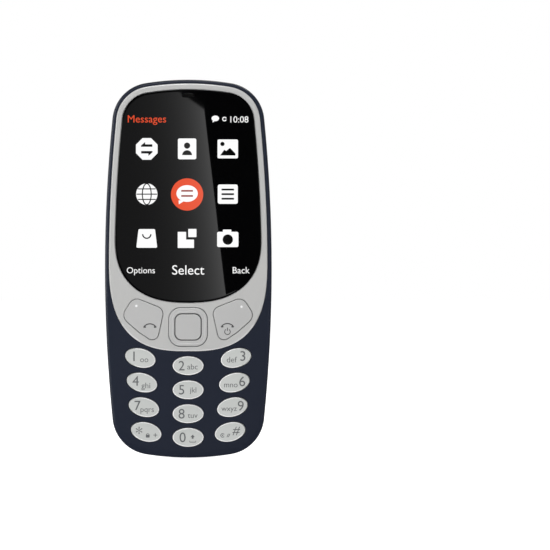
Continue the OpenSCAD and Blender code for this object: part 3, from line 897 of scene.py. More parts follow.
def screwSpots(node):
    clusters = []
    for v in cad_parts[node].data.vertices:
        p = Vector((v.co.x, v.co.z)) * 1000
        home = next((c for c in clusters if (c[0] - p).length < 4), None)
        if home is None:
            clusters.append([p, p])
        else:
            home[0] = Vector((min(home[0].x, p.x), min(home[0].y, p.y)))
            home[1] = Vector((max(home[1].x, p.x), max(home[1].y, p.y)))
    return [(low + high) / 2 for low, high in clusters]


housingScrews = screwSpots("housing_screws")
boardScrews = screwSpots("board_screws")
print("screws at", [tuple(round(c, 1) for c in p) for p in housingScrews + boardScrews])


def buildFrontHousing():
    s = housingShape
    hub = Vector((0, middle))
    rings = [[at(hub + (p - hub) * 0.4, s["floor"]) for p in bodyLoop(s["skirtInner"])]]
    rings += [[at(p, y) for p in bodyLoop(inset)] for inset, y in (
        (s["skirtInner"] + 0.3, s["floor"]), (s["skirtInner"], s["floor"] + 0.3),
        (s["skirtInner"], s["skirtEnd"] - 0.1), (s["skirtInner"] + 0.08, s["skirtEnd"]),
        (s["skirtOuter"] + 0.1, s["skirtEnd"]), (s["skirtOuter"], s["skirtEnd"] - 0.15),
        (s["skirtOuter"], -3.0))]
    for inset in (s["skirtOuter"], s["rim"] + 0.1):
        rings.append([at(p, min(seamY(p.x) - 0.08, -3.3)) for p in bodyLoop(inset)])
    rings.append([at(p, min(seamY(p.x) - 0.16, -3.4)) for p in bodyLoop(s["rim"])])
    def rolled(inset):  # the roll is broader round the bottom end
        reach = [1 + (s["bottomRoll"] - 1) * max(0.0, min(1.0, (14 - p.y) / 12)) for p, d in edge]
        return [p - d * (s["rim"] + inset * k) for (p, d), k in zip(edge, reach)]

    for inset, drop in arcSteps(s["round"], 8):
        rings.append([at(p, min(crown(p.x, s["crest"]) + drop, seamY(p.x) - 0.2)) for p in rolled(inset)])
    flat = rolled(s["round"])
    for share in (0.985, 0.93, 0.86, 0.78, 0.69, 0.59, 0.48, 0.36, 0.24, 0.12):
        ring = [hub + (p - hub) * share for p in flat]
        rings.append([at(p, crown(p.x, s["crest"])) for p in ring])
    tray = loft("frontHousing", rings)
    posts = [postPiece("post", p, s["floor"] - 0.3, s["boardFront"] - 0.02, 1.1)
             for p in housingScrews + boardScrews]
    combine(tray, posts, "UNION")
    low, high = nodeBox("lcd_panel")
    cuts = [
        loft("cut", [[at(p, y) for p in shieldLoop(1.25, 32.55, 61, 2.8)] for y in (-8, -4.45)]),
        boxPiece("cut", (low.x - 0.35, -4.05, low.z - 0.35), (high.x + 0.35, 1, high.z + 0.35)),
        boxPiece("cut", (-18.6, -8, low.z + 1.4), (18.6, -4, high.z - 1.2)),
        boxPiece("cut", (-5.4, -8, 105.9), (5.4, 2, 111.6)),
        boxPiece("cut", (-30, s["boardFront"] - 0.05, -1), (30, 2, 12)),
        boxPiece("cut", (-4.5, -1.1, 108), (4.5, 2, 116)),
        postPiece("cut", Vector((-6.5, 0.4)), -1, 5, 3, axis="Z"),
        postPiece("cut", Vector((6.7, -2.05)), -1, 4, 0.45, axis="Z"),
        loft("cut", [[at(p, y) for p in functionLoop(-1, 0.26)] for y in (-8, 2)]),
        loft("cut", [[at(p, y) for p in functionLoop(1, 0.26)] for y in (-8, 2)]),
        loft("cut", [[at(p, y) for p in squareLoop(navAt, navigation["ringWidth"] + 0.52,
                                                   3.76)] for y in (-8, 2)]),
    ]
    cuts += [flaredCutter(keyLoop(k, keyShape["gap"]), s["crest"], 2, s["keyFlare"]) for k in keySpots]
    cuts += [postPiece("cut", p, -4, 1, 0.65) for p in housingScrews + boardScrews]
    combine(tray, cuts)
    finishPiece(tray, "phone", "navy_housing", ["front_housing"])


buildFrontHousing()
print("front housing: done")

# screen surround and window

surroundShape = {"crest": -6.25, "inset": 1.3, "low": 32.6, "join": 61, "power": 2.8, "fillet": 0.4,
                 "back": -4.5}
windowShape = {"crest": -6.4, "inset": 3.1, "low": 47.4, "join": 67, "power": 2.44, "fillet": 0.22,
               "back": -4.86,
               "flare": 0.2, "slot": (0, 110.7, 3.7, 1.2)}


def windowLoop(grow=0.0):
    s = windowShape
    return shieldLoop(s["inset"] + grow, s["low"] + grow, s["join"], s["power"])


def buildSurround():
    s = surroundShape
    loop = finerLoop(shieldLoop(s["inset"], s["low"], s["join"], s["power"]), 1.6)
    step = offsetLoop(loop, 1.05)

    def behind(ring):
        return [at(p, min(s["back"], seamY(p.x) - 0.2)) for p in ring]

    rings = [[at(p, s["back"]) for p in step], behind(step), behind(loop)]
    rings += crownedRings(loop, s["crest"], s["fillet"], rings=16)
    surround = loft("screenSurround", rings)
    cuts = [flaredCutter(windowLoop(-0.05), s["crest"], -4.84, windowShape["flare"]),
            loft("cut", [[at(p, y) for p in windowLoop(1.0)] for y in (-8, -3)]),
            flaredCutter(functionLoop(-1, 0.16), s["crest"], 2, 0.08),
            flaredCutter(functionLoop(1, 0.16), s["crest"], 2, 0.08),
            flaredCutter(squareLoop(navAt, navigation["ringWidth"] + 0.32, 3.66), s["crest"], 2, 0.1)]
    combine(surround, cuts)
    finishPiece(surround, "phone", "silver_surround", ["screen_bezel"], sharp=28)
    # painted highlight on the surround's rounded outer edge and the chamfered lips of its openings
    paintFacing(surround, surroundLipHighlight, s["crest"] + 0.9, 0.25, 0.985)


def buildWindow():
    s = windowShape
    loop = finerLoop(windowLoop(), 1.6)
    window = crownedSolid("screenWindow", loop, s["crest"], [(0, s["back"])], s["fillet"], rings=18)
    x, z, length, height = s["slot"]
    slot = flaredCutter(stadiumLoop(Vector((x, z)), length, height), s["crest"], -4, 0.12)
    combine(window, [slot])
    finishPiece(window, "phone", "window", ["screen_window"], sharp=28)


buildSurround()
buildWindow()
print("surround and window: done")

# keys


def keySurface(name):
    x0, z0, tilt = keySpots[name]
    s = keyShape
    c, q = math.cos(math.radians(tilt)), math.sin(math.radians(tilt))
    a, b = s["length"] / 2 - s["fillet"], s["height"] / 2 - s["fillet"]

    def surface(x, z):
        u, w = (x - x0) * c - (z - z0) * q, (x - x0) * q + (z - z0) * c
        return crown(x, s["crest"]) + s["dome"] * min(1.0, (u / a) ** 2 + (w / b) ** 2)

    return surface


def buildKey(name):
    s = keyShape
    x, z, tilt = keySpots[name]
    loop = keyLoop(name)
    post = ovalLoop(Vector((x, z)), 2.2, 2.2, -math.radians(tilt), len(loop))
    flange = offsetLoop(loop, -0.4)
    rear = nodeBox(name)[1].y
    rings = [[at(p, rear) for p in post], [at(p, -2.84) for p in post], [at(p, -2.84) for p in flange],
             [at(p, -3.34) for p in flange], [at(p, -3.34) for p in loop]]
    rings += crownedRings(loop, s["crest"], s["fillet"], dome=s["dome"], rings=9, hub=Vector((x, z)))
    cap = finishPiece(loft(name + "Cap", rings), name, "oval_key", [name])
    # painted highlight on the key's rounded rim
    paintFacing(cap, keyRimHighlight, s["crest"] + 0.75, 0.25, 0.985)


legends = {
    "key_1": [("1", -1.9, 0.5, "height", 2.9), ("oo", 1.23, -0.72, "width", 2.5)],
    "key_2": [("2", -1.98, 0, "height", 2.9), ("abc", 1.34, -0.3, "width", 3.2)],
    "key_3": [("3", 2.1, 0.6, "height", 3.0), ("def", -1.25, -0.5, "width", 3.1)],
    "key_4": [("4", -1.9, 0.5, "height", 2.9), ("ghi", 1.2, -1.17, "width", 2.7)],
    "key_5": [("5", -1.98, 0, "height", 2.9), ("jkl", 1.5, -0.3, "width", 2.0)],
    "key_6": [("6", 2.4, 0.35, "height", 3.0), ("mno", -1.07, -0.9, "width", 4.1)],
    "key_7": [("7", -1.9, 0.5, "height", 2.9), ("pqrs", 1.03, -1.2, "width", 4.1)],
    "key_8": [("8", -1.98, 0, "height", 3.0), ("tuv", 1.4, -0.65, "width", 3.0)],
    "key_9": [("9", 2.55, 0.4, "height", 3.0), ("wxyz", -1.0, -0.9, "width", 4.7)],
    "key_star": [("*", -2.15, 0.47, "height", 2.3), ("+", 2.8, -0.97, "width", 1.2)],
    "key_0": [("0", -1.67, 0, "height", 3.0)],
    "key_hash": [("#", 1.9, 0.27, "height", 2.6)],
}


def keySymbols(name):  # small lock, case mark, space bracket and tone marks, relative to the key's centre
    if name == "key_star":
        return [barLoop(0.5, -1.3, 1.15, 0.85, 0.12),
                strokeLoop(arcPoints(0.5, -0.95, 0.42, 0, 180, 10), 0.2)]
    if name == "key_0":
        bracket = [Vector(c) for c in ((0.5, -1.05), (0.5, -1.45), (2.3, -1.45), (2.3, -1.05))]
        return [[Vector((1.4, 0.85)), Vector((0.75, 0.1)), Vector((2.05, 0.1))],
                barLoop(1.4, -0.17, 0.6, 0.45, 0.08),
                strokeLoop(bracket, 0.22)]
    if name == "key_hash":
        return [strokeLoop(arcPoints(-2.3, -1.07, 0.55, 30, 330, 14), 0.22), discLoop(-2.3, -1.07, 0.2, 16),
                strokeLoop([Vector((-0.95, -1.6)), Vector((-0.5, -0.55))], 0.22),
                strokeLoop([Vector((-0.5, -1.6)), Vector((-0.05, -0.55))], 0.22)]
    return []


def buildLegends(name):
    x0, z0, tilt = keySpots[name]
    surface = keySurface(name)
    for i, (words, dx, dz, measure, amount) in enumerate(legends[name]):
        fit = {"centre": (x0 + dx, z0 + dz), measure: amount}
        inked = layOn(f"{name}Legend{i}", textCurve("legend", words), surface, fit=fit, step=0.7,
                       slant=0.18 if words == "#" else 0.0)
        finishPiece(inked, name, "oval_key", material=legendInk)
    loops = [[Vector((p.x + x0, p.y + z0)) for p in loop] for loop in keySymbols(name)]
    for i, loop in enumerate(loops):
        mark = layOn(f"{name}Mark{i}", curveFrom("mark", [loop]), surface, step=0.7)
        finishPiece(mark, name, "oval_key", material=legendInk)


for keyName in keySpots:
    buildKey(keyName)
    buildLegends(keyName)
print("number keys and legends: done")


def buildFunctionKey(side):
    s = functionShape
    bodyName = "left_function_key" if side < 0 else "right_function_key"
    loop = functionLoop(side)
    centre = sum(loop, Vector((0, 0))) / len(loop)
    rear = nodeBox(bodyName)[1].y
    backs = [(-0.5, -2.6), (0.5, -2.6), (0.5, -3.0), (0, -3.0)]
    key = crownedSolid(bodyName + "Cap", loop, s["crest"], backs, 0.22, dome=0.03, rings=10, hub=centre)
    posts = [postPiece("post", Vector((-side * x, z)), -2.8, rear, 0.9) for x, z in s["posts"]]
    combine(key, posts, "UNION")
    finishPiece(key, bodyName, "silver_key", [bodyName])
    paintFacing(key, gapShade, -3.5, -0.3, 0.72)
    surface = lambda x, z: crown(x, s["crest"]) + 0.012
    if side < 0:
        arc = strokeLoop(arcPoints(-11.65, 38.65, 2.3, 42, 138, 14), 0.34)
        tips = [barLoop(-13.25, 40.0, 0.75, 0.5, 0.1), barLoop(-10.05, 40.0, 0.75, 0.5, 0.1)]
        marks = [arc] + tips
        dot = (-15.8, 46.4)
    else:
        arc = strokeLoop(arcPoints(12.0, 38.75, 2.3, 42, 138, 14), 0.34)
        tips = [barLoop(10.4, 40.1, 0.75, 0.5, 0.1), barLoop(13.6, 40.1, 0.75, 0.5, 0.1)]
        ring = strokeLoop(arcPoints(12.0, 38.55, 0.85, 125, 415, 22), 0.24)
        marks = [arc, ring, barLoop(12.0, 39.3, 0.26, 1.0, 0.1)] + tips
        dot = (16.3, 46.2)
    for i, loop in enumerate(marks):
        mark = layOn(f"{bodyName}Mark{i}", curveFrom("mark", [loop]), surface, lift=0.014)
        finishPiece(mark, bodyName, "silver_key", material=symbolInk)
    mark = layOn(bodyName + "Dot", curveFrom("dot", [discLoop(*dot, 0.36, 24)]), surface)
    finishPiece(mark, bodyName, "silver_key", material=materials["light_guide"])


def buildNavigation():
    s = navigation
    crest = -6.4
    outer = squareLoop(navAt, s["ringWidth"], s["ringRadius"])
    inner = squareLoop(navAt, s["selectWidth"] + 0.32, s["selectRadius"] + 0.16)

    def ring(share, drop):
        return [at(a.lerp(b, share), crown(a.lerp(b, share).x, crest) + drop) for a, b in zip(outer, inner)]

    stack = [[at(p, -3.4) for p in inner], [at(p, -3.4) for p in outer]]
    profile = [(0, 0.24), (0.04, 0.1), (0.1, 0.03), (0.17, 0), (0.42, 0), (0.46, 0.03), (0.5, 0.07),
               (0.54, 0.03),
               (0.58, 0), (0.88, 0.0), (0.95, 0.03), (1, 0.12)]
    stack += [ring(share, drop) for share, drop in profile]
    rim = loft("navigationRingCap", stack, looped=True)
    rear = nodeBox("navigation_ring")[1].y
    combine(rim, [postPiece("post", navAt + Vector((x, 0)), -3.5, rear, 0.5) for x in (-5.1, 5.1)], "UNION")
    finishPiece(rim, "navigation_ring", "silver_key", ["navigation_ring"], sharp=40)
    paintFacing(rim, gapShade, -3.5, -0.3, 0.8)
    loop = squareLoop(navAt, s["selectWidth"], s["selectRadius"])
    select = crownedSolid("selectKeyCap", loop, crest, [(-0.45, -2.9), (-0.45, -3.8), (0, -3.8)], 0.24,
                          rings=8)
    rear = nodeBox("select_key")[1].y
    combine(select, [postPiece("post", navAt, -3, rear, 1.1)], "UNION")
    finishPiece(select, "select_key", "silver_key", ["select_key"])
    paintFacing(select, gapShade, -3.5, -0.3, 0.8)


buildFunctionKey(-1)
buildFunctionKey(1)
buildNavigation()
print("function keys and navigation: done")

# what the window shows, and the back's small parts

screenShape = {"columns": (-12.6, -0.3, 12.1), "rows": (94.3, 80.5, 67.0)}


def windowSurface(x, z):
    return crown(x, windowShape["crest"])


def screenPrint(name, loops, material, lift=0.012):
    piece = layOn(name, curveFrom(name, loops), windowSurface, lift=lift, step=1.6)
    finishPiece(piece, "phone", "window", material=material)


def screenText(name, words, centre, measure, amount, material):
    piece = layOn(name, textCurve(name, words), windowSurface, fit={"centre": centre, measure: amount},
                  step=1.6)
    finishPiece(piece, "phone", "window", material=material)


def iconGlyphs(column, row):  # (white loops, dark loops) about the icon's centre
    V = Vector
    if row == 0 and column == 0:
        octagon = [V(c) for c in ((3.3, 1.3), (1.3, 3.3), (-1.3, 3.3), (-3.3, 1.3), (-3.3, -1.3),
                                  (-1.3, -3.3),
                                  (1.3, -3.3), (3.3, -1.3))]
        arrow = [V(c) for c in ((-1.75, 1.05), (-0.5, 2.1), (-0.5, 1.4), (1.7, 1.4), (1.7, 0.65),
                                (-1.75, 0.65))]
        return [octagon], [arrow, [V((-p.x, -p.y)) for p in arrow]]
    if row == 0 and column == 1:
        shoulders = arcPoints(0, -1.9, 1.5, 0, 180, 14)
        return [barLoop(0, 0, 5.6, 6.35, 0.5)], [discLoop(0, 1.0, 0.95, 24), shoulders]
    if row == 0:
        hills = [V(c) for c in ((-2.34, -2.0), (2.34, -2.0), (2.34, -1.43), (0.68, 0.33), (-0.49, -0.64),
                                (-1.07, -0.25))]
        return [barLoop(0, 0, 6.25, 5.76, 0.45)], [discLoop(-1.62, 1.5, 0.65, 20), hills]
    if row == 1 and column == 0:
        meridian = strokeLoop(ovalLoop(V((0, 0)), 2.7, 6.4, count=40) + [V((1.35, 0))], 0.32)
        return [discLoop(0, 0, 3.26, 48)], [meridian, barLoop(0, 0, 6.3, 0.32, 0.1),
                                            barLoop(0, 1.6, 5.4, 0.32, 0.1),
                                            barLoop(0, -1.6, 5.4, 0.32, 0.1)]
    if row == 1 and column == 2:
        return [barLoop(0, 0, 6.1, 5.9, 0.6)], [barLoop(0, h, 3.8, 0.55, 0.15) for h in (1.4, 0, -1.4)]
    if row == 2 and column == 0:
        bag = [V(c) for c in ((3.2, -2.85), (2.5, 2.85), (-2.5, 2.85), (-3.2, -2.85))]
        return [roundedLoop(bag, [0.4] * 4, steps=3)], [strokeLoop(arcPoints(0, 1.3, 1.25, 180, 360, 14),
                                                                   0.4)]
    if row == 2 and column == 1:
        corner = [V(c) for c in ((-2.85, 2.0), (-2.85, -2.9), (2.1, -2.9), (2.1, -0.35), (-0.3, -0.35),
                                 (-0.3, 2.0))]
        return [corner[:], barLoop(1.6, 1.65, 2.5, 2.5, 0.2)], []
    caseLoop = barLoop(0, -0.3, 6.5, 4.65, 0.5)
    return [caseLoop, barLoop(-0.2, 2.25, 2.6, 0.9, 0.2)], [discLoop(0, -0.35, 1.58, 32)]


def buildScreen():
    def moved(loops, x, z):
        return [[Vector((p.x + x, p.y + z)) for p in loop] for loop in loops]

    for row, z in enumerate(screenShape["rows"]):
        for column, x in enumerate(screenShape["columns"]):
            if (row, column) == (1, 1):
                continue
            white, dark = iconGlyphs(column, row)
            for i, loop in enumerate(moved(white, x, z)):
                screenPrint(f"icon{row}{column}White{i}", [loop], whiteLight)
            for i, loop in enumerate(moved(dark, x, z)):
                screenPrint(f"icon{row}{column}Dark{i}", [loop], blackLight, 0.022)
    x, z = screenShape["columns"][1], 80.4
    screenPrint("chosenDisc", [discLoop(x, z, 4.92, 64)], orangeLight)
    screenPrint("chosenBubble", [ovalLoop(Vector((x, z + 0.3)), 6.5, 5.1)], whiteLight, 0.02)
    tail = [Vector((x + dx, z + dz)) for dx, dz in ((-2.6, -1.8), (-0.6, -1.8), (-2.5, -3.0))]
    screenPrint("chosenTail", [tail], whiteLight, 0.02)
    for i, dz in enumerate((1.1, -0.45)):
        screenPrint(f"chosenBar{i}", [barLoop(x, z + dz, 3.6, 0.5, 0.12)], darkOrange, 0.028)
    screenText("title", "Messages", (-12.55, 103.1), "width", 11.7, orangeLight)
    screenPrint("statusBubble", [ovalLoop(Vector((8.3, 103.6)), 2.3, 1.7)], whiteLight)
    screenPrint("statusTail", [[Vector((7.5, 103.1)), Vector((8.2, 102.9)), Vector((7.5, 102.3))]],
                whiteLight)
    screenPrint("statusMark", [strokeLoop(arcPoints(11.1, 103.4, 0.55, 20, 340, 14), 0.3)], whiteLight)
    screenText("clock", "10:08", (15.65, 103.3), "width", 5.5, whiteLight)
    screenText("leftSoft", "Options", (-14.4, 57.0), "width", 8.6, whiteLight)
    screenText("middleSoft", "Select", (0.05, 57.4), "height", 2.9, whiteLight)
    screenText("rightSoft", "Back", (16.2, 57.3), "width", 5.2, whiteLight)


darkOrange = screenFinish("darkOrange", (0.3, 0.025, 0.008), 1.0)
buildScreen()
print("screen: done")

cameraShape = {"ring": 13.3, "ringRadius": 4.9, "flange": 15, "flangeRadius": 5.6, "glass": 10.2,
               "glassRadius": 3.88,
               "face": 6.4, "base": 4.7}


def buildCamera():
    s = cameraShape
    outer = squareLoop(cameraAt, s["ring"], s["ringRadius"])
    flange = squareLoop(cameraAt, s["flange"], s["flangeRadius"])
    inner = squareLoop(cameraAt, s["glass"], s["glassRadius"])
    hole = [cameraAt + (p - cameraAt).normalized() * 3.6 for p in inner]
    face = s["face"]

    def ring(share, drop):
        return [at(a.lerp(b, share), face - drop) for a, b in zip(outer, inner)]

    stack = [[at(p, s["base"]) for p in hole], [at(p, s["base"]) for p in flange],
             [at(p, 5.12) for p in flange],
             [at(p, 5.12) for p in outer]]
    profile = [(0, 0.2), (0.05, 0.09), (0.13, 0.02), (0.24, 0), (0.36, 0.03), (0.44, 0.12), (0.5, 0.15),
               (0.56, 0.12),
               (0.64, 0.03), (0.74, 0.0), (0.86, 0.03), (0.95, 0.12), (1, 0.26)]
    stack += [ring(share, drop) for share, drop in profile]
    stack += [[at(p, 5.26) for p in inner], [at(p, 5.26) for p in hole]]
    finishPiece(loft("cameraTrim", stack, looped=True), "cover", "camera_trim", ["camera_ring"], sharp=60)
    pane = squareLoop(cameraAt, s["glass"] - 0.1, s["glassRadius"] - 0.03)
    glass = [[at(p, 5.28) for p in pane]]
    glass += [[at(p, 6.13 - drop) for p in offsetLoop(pane, inset)] for inset, drop in arcSteps(0.2, 5)]
    glass += [[at(cameraAt + (p - cameraAt) * k, 6.13 + 0.02 * (1 - k * k)) for p in offsetLoop(pane, 0.2)]
              for k in (0.95, 0.8, 0.6, 0.4, 0.2)]
    finishPiece(loft("cameraPane", glass), "cover", "camera_glass", ["camera_window"])
    surface = lambda x, z: 6.15
    x, z = cameraAt
    for name, outerR, innerR, paint in (("lensRing", 2.55, 2.2, materials["dark_plastic"]),
                                        ("lensRim", 1.75, 1.5, materials["screw_steel"])):
        loops = [discLoop(x, z, outerR, 64), discLoop(x, z, innerR, 64)]
        finishPiece(layOn(name, curveFrom(name, loops), surface, facing=1), "cover", "camera_glass",
                    material=paint)
    lens = [[at(p, y) for p in discLoop(x, z, r, 48)]
            for r, y in ((1.48, 6.1), (1.48, 6.16), (1.2, 6.2), (0.8, 6.235),
                                                                  (0.35, 6.25))]
    finishPiece(loft("lensDome", lens), "cover", "camera_glass", material=materials["window"])
    flash = nodeCentre("flash_lens")
    steps = ((2.3, 4.7), (2.3, 5.1), (1.65, 5.12), (1.65, 6.0), (1.6, 6.08), (1.45, 6.13), (1.2, 6.12),
             (0.7, 6.15),
             (0.3, 6.16))
    finishPiece(loft("flashCap", [[at(p, y) for p in discLoop(flash.x, flash.y, r, 48)] for r, y in steps]),
                "cover",
                "lens_clear", ["flash_lens"])


buildCamera()
print("camera and flash: done")

# parts carried over from the model with their edges eased

easedParts = {
    "lcd_panel": ("phone", "display", 0.12), "light_guide": ("phone", "light_guide", 0.08),
    "lcd_tray": ("phone", "sheet_steel", 0.05), "earpiece": ("phone", "sheet_steel", 0.15),
    "chassis": ("phone", "chassis_plastic", 0.12), "main_board": ("phone", "board", 0.06),
    "shield_cans": ("phone", "sheet_steel", 0.14), "sim_sockets": ("phone", "sheet_steel", 0.06),
    "memory_card_socket": ("phone", "sheet_steel", 0.06),
    "battery_contacts": ("phone", "dark_plastic", 0.12),
    "camera_module": ("phone", "dark_plastic", 0.14), "flash_led": ("phone", "lens_clear", 0.12),
    "loudspeaker": ("phone", "dark_plastic", 0.15), "usb_socket": ("phone", "sheet_steel", 0.06),
    "usb_tongue": ("phone", "dark_plastic", 0.06), "headphone_socket": ("phone", "dark_plastic", 0.12),
    "vibration_motor": ("phone", "sheet_steel", 0.1),
    "vibration_shaft": ("vibration_rotor", "screw_steel", 0.05),
    "vibration_weight": ("vibration_rotor", "screw_steel", 0.1),
    "microphone": ("phone", "sheet_steel", 0.1),
    "antenna_strip": ("phone", "gold_contact", 0.03), "keypad_mat": ("phone", "mat_rubber", 0.05),
    "navigation_pad": ("navigation_pad", "mat_rubber", 0.06),
    "battery_cap": ("battery", "dark_plastic", 0.12),
    "battery_cell": ("battery", "cell", 0.06), "battery_wrap": ("battery", "wrap", 0.035),
}


def easePart(node, bodyName, slot, width):
    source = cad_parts[node].data
    verts = [tuple(v.co * 1000) for v in source.vertices]
    piece = meshPiece(node + "Eased", verts, [tuple(p.vertices) for p in source.polygons])
    work = bmesh.new()
    work.from_mesh(piece.data)
    bmesh.ops.remove_doubles(work, verts=work.verts, dist=0.002)
    bmesh.ops.dissolve_limit(work, angle_limit=math.radians(3), verts=work.verts, edges=work.edges)
    bmesh.ops.recalc_face_normals(work, faces=work.faces)
    work.to_mesh(piece.data)
    work.free()
    bevel = piece.modifiers.new("ease", "BEVEL")
    bevel.width = width
    bevel.segments = 2
    bevel.limit_method = "ANGLE"
    bevel.angle_limit = math.radians(40)
    bakeModifiers(piece)
    finishPiece(piece, bodyName, slot, [node])


for node, (bodyName, slot, width) in easedParts.items():
    easePart(node, bodyName, slot, width)

contactShape = {"xs": (-5, 0, 5), "z": (77.35, 78.6), "y": (1.1, 2.4), "width": 1.6}


def buildContacts():
    s = contactShape
    for i, x in enumerate(s["xs"]):
        rings = []
        for k in range(9):
            share = k / 8
            z = s["z"][0] + (s["z"][1] - s["z"][0]) * (1 - math.sin(math.pi * share))
            y = s["y"][0] + (s["y"][1] - s["y"][0]) * share
            rings.append([(x - s["width"] / 2, y, z), (x + s["width"] / 2, y, z),
                          (x + s["width"] / 2, y, z + 0.25), (x - s["width"] / 2, y, z + 0.25)])
        finishPiece(loft(f"contactSpring{i}", rings), "phone", "gold_contact")


def buildBatteryLabel():
    low, high = nodeBox("battery_wrap")
    surface = lambda x, z: high.y
    top = high.z
    marks = {
        "labelBand": [barLoop(0, top - 9, high.x * 2 - 5, 9, 0.8)],
        "labelFoot": [barLoop(0, low.z + 7, high.x * 2 - 5, 1.2, 0.5)],
        "labelLines": [barLoop(-4, top - 18 - 3 * k, 22 - 3 * k, 0.9, 0.4) for k in range(5)],
        "plusMark": [[Vector((-13 + a * 0.35 + b * 1.3, top - 4 + c * 1.3 + d * 0.35)) for a, b, c, d in (
            (1, 0, 1, 0), (-1, 0, 1, 0), (-1, 0, 0, 1), (0, -1, 0, 1), (0, -1, 0, -1), (-1, 0, 0, -1),
            (-1, 0, -1, 0),
            (1, 0, -1, 0), (1, 0, 0, -1), (0, 1, 0, -1), (0, 1, 0, 1), (1, 0, 0, 1))]],
        "minusMark": [barLoop(13, top - 2.4, 2.6, 0.7, 0.1)],
    }
    marks["plusMark"] = [[Vector((p.x, p.y + 1.6)) for p in marks["plusMark"][0]]]
    for name, loops in marks.items():
        piece = layOn(name, curveFrom(name, loops), surface, lift=0.01, step=8, facing=1)
        finishPiece(piece, "battery", "wrap", material=labelInk)


buildContacts()
buildBatteryLabel()
print("inner parts: done")

# repeated parts: screws, domes, chips and woven mesh, made with Geometry Nodes


def groupTree(name, sockets):
    tree = bpy.data.node_groups.new(name, "GeometryNodeTree")
    tree.interface.new_socket("Geometry", in_out="INPUT", socket_type="NodeSocketGeometry")
    for label, kind in sockets:
        tree.interface.new_socket(label, in_out="INPUT", socket_type=f"NodeSocket{kind}")
    tree.interface.new_socket("Geometry", in_out="OUTPUT", socket_type="NodeSocketGeometry")
    return tree, tree.nodes.new("NodeGroupInput"), tree.nodes.new("NodeGroupOutput")


def placedPartsTree():
    tree, given, result = groupTree("placedParts",
                                    (("Part", "Object"), ("Material", "Material"), ("Turn", "Float"),
                                                    ("Smallest", "Float"), ("Seed", "Int")))
    inputs = given.outputs
    part = addNode(tree, "GeometryNodeObjectInfo", None, {"Object": inputs["Part"]})
    turn = addNode(tree, "FunctionNodeRandomValue", {"data_type": "FLOAT"},
                   {2: 0.0, 3: inputs["Turn"], "Seed": inputs["Seed"]})
    spin = addNode(tree, "ShaderNodeCombineXYZ", None, {1: turn.outputs[1]})
    scale = addNode(tree, "FunctionNodeRandomValue", {"data_type": "FLOAT"},
                    {2: inputs["Smallest"], 3: 1.0, "Seed": inputs["Seed"]})
    placed = addNode(tree, "GeometryNodeInstanceOnPoints", None,
                     {"Points": inputs["Geometry"], "Instance": part.outputs["Geometry"],
                      "Rotation": spin.outputs[0], "Scale": scale.outputs[1]})
    real = addNode(tree, "GeometryNodeRealizeInstances", None, {0: placed.outputs[0]})
    painted = addNode(tree, "GeometryNodeSetMaterial", None, {"Geometry": real.outputs[0],
                                                              "Material": inputs["Material"]})
    tree.links.new(painted.outputs[0], result.inputs[0])
    return tree


def wovenTree():
    tree, given, result = groupTree("wovenWires",
                                    (("Width", "Float"), ("Height", "Float"), ("Pitch", "Float"),
                                                   ("Wire", "Float"), ("Material", "Material")))
    inputs = given.outputs

    def number(name):
        return Signal(tree, inputs[name])

    place = addNode(tree, "GeometryNodeInputPosition")
    split = addNode(tree, "ShaderNodeSeparateXYZ", None, {0: place.outputs[0]})
    waves = [Signal(tree, split.outputs[k]).math("DIVIDE", Signal(tree, split.outputs[k]),
                                                 number("Pitch") * (1 / math.pi))
             .math("COSINE", Signal(tree, split.outputs[k]).math(
                 "DIVIDE", Signal(tree, split.outputs[k]), number("Pitch") * (1 / math.pi)),
                 0.0) for k in (0, 2)]
    weave = waves[0] * waves[1] * number("Wire")
    joined = addNode(tree, "GeometryNodeJoinGeometry")
    for across, along, sign in (("Width", "Height", 1.0), ("Height", "Width", -1.0)):
        vertical = along == "Height"
        reach, span = number(along) * 0.5, number(across) * 0.5
        ends = [addNode(tree, "ShaderNodeCombineXYZ", None,
                        {2 if vertical else 0: reach * k}) for k in (-1.0, 1.0)]
        wire = addNode(tree, "GeometryNodeCurvePrimitiveLine", None, {"Start": ends[0].outputs[0],
                                                                      "End": ends[1].outputs[0]})
        fine = addNode(tree, "GeometryNodeResampleCurve", None, {
            "Curve": wire.outputs[0], "Count": number(along).math("DIVIDE", number(along),
                                                                  number("Pitch") * 0.25)})
        first = number(across).math("FLOOR", span.math("DIVIDE", span, number("Pitch")), 0.0)
        start = addNode(tree, "ShaderNodeCombineXYZ", None,
                        {0 if vertical else 2: first * number("Pitch") * -1.0})
        pace = addNode(tree, "ShaderNodeCombineXYZ", None, {0 if vertical else 2: number("Pitch")})
        row = addNode(tree, "GeometryNodeMeshLine", {"mode": "OFFSET"}, {
            "Count": first * 2.0 + 1.0, "Start Location": start.outputs[0], "Offset": pace.outputs[0]})
        placed = addNode(tree, "GeometryNodeInstanceOnPoints", None, {"Points": row.outputs[0],
                                                                      "Instance": fine.outputs[0]})
        real = addNode(tree, "GeometryNodeRealizeInstances", None, {0: placed.outputs[0]})
        shift = addNode(tree, "ShaderNodeCombineXYZ", None, {1: weave * sign})
        bent = addNode(tree, "GeometryNodeSetPosition", None, {"Geometry": real.outputs[0],
                                                               "Offset": shift.outputs[0]})
        wireRound = addNode(tree, "GeometryNodeCurvePrimitiveCircle", None,
                            {"Resolution": 6, "Radius": number("Wire")})
        tube = addNode(tree, "GeometryNodeCurveToMesh", None, {"Curve": bent.outputs[0],
                                                               "Profile Curve": wireRound.outputs[0],
                                                               "Fill Caps": True})
        tree.links.new(tube.outputs[0], joined.inputs[0])
    painted = addNode(tree, "GeometryNodeSetMaterial", None, {"Geometry": joined.outputs[0],
                                                              "Material": inputs["Material"]})
    tree.links.new(painted.outputs[0], result.inputs[0])
    return tree


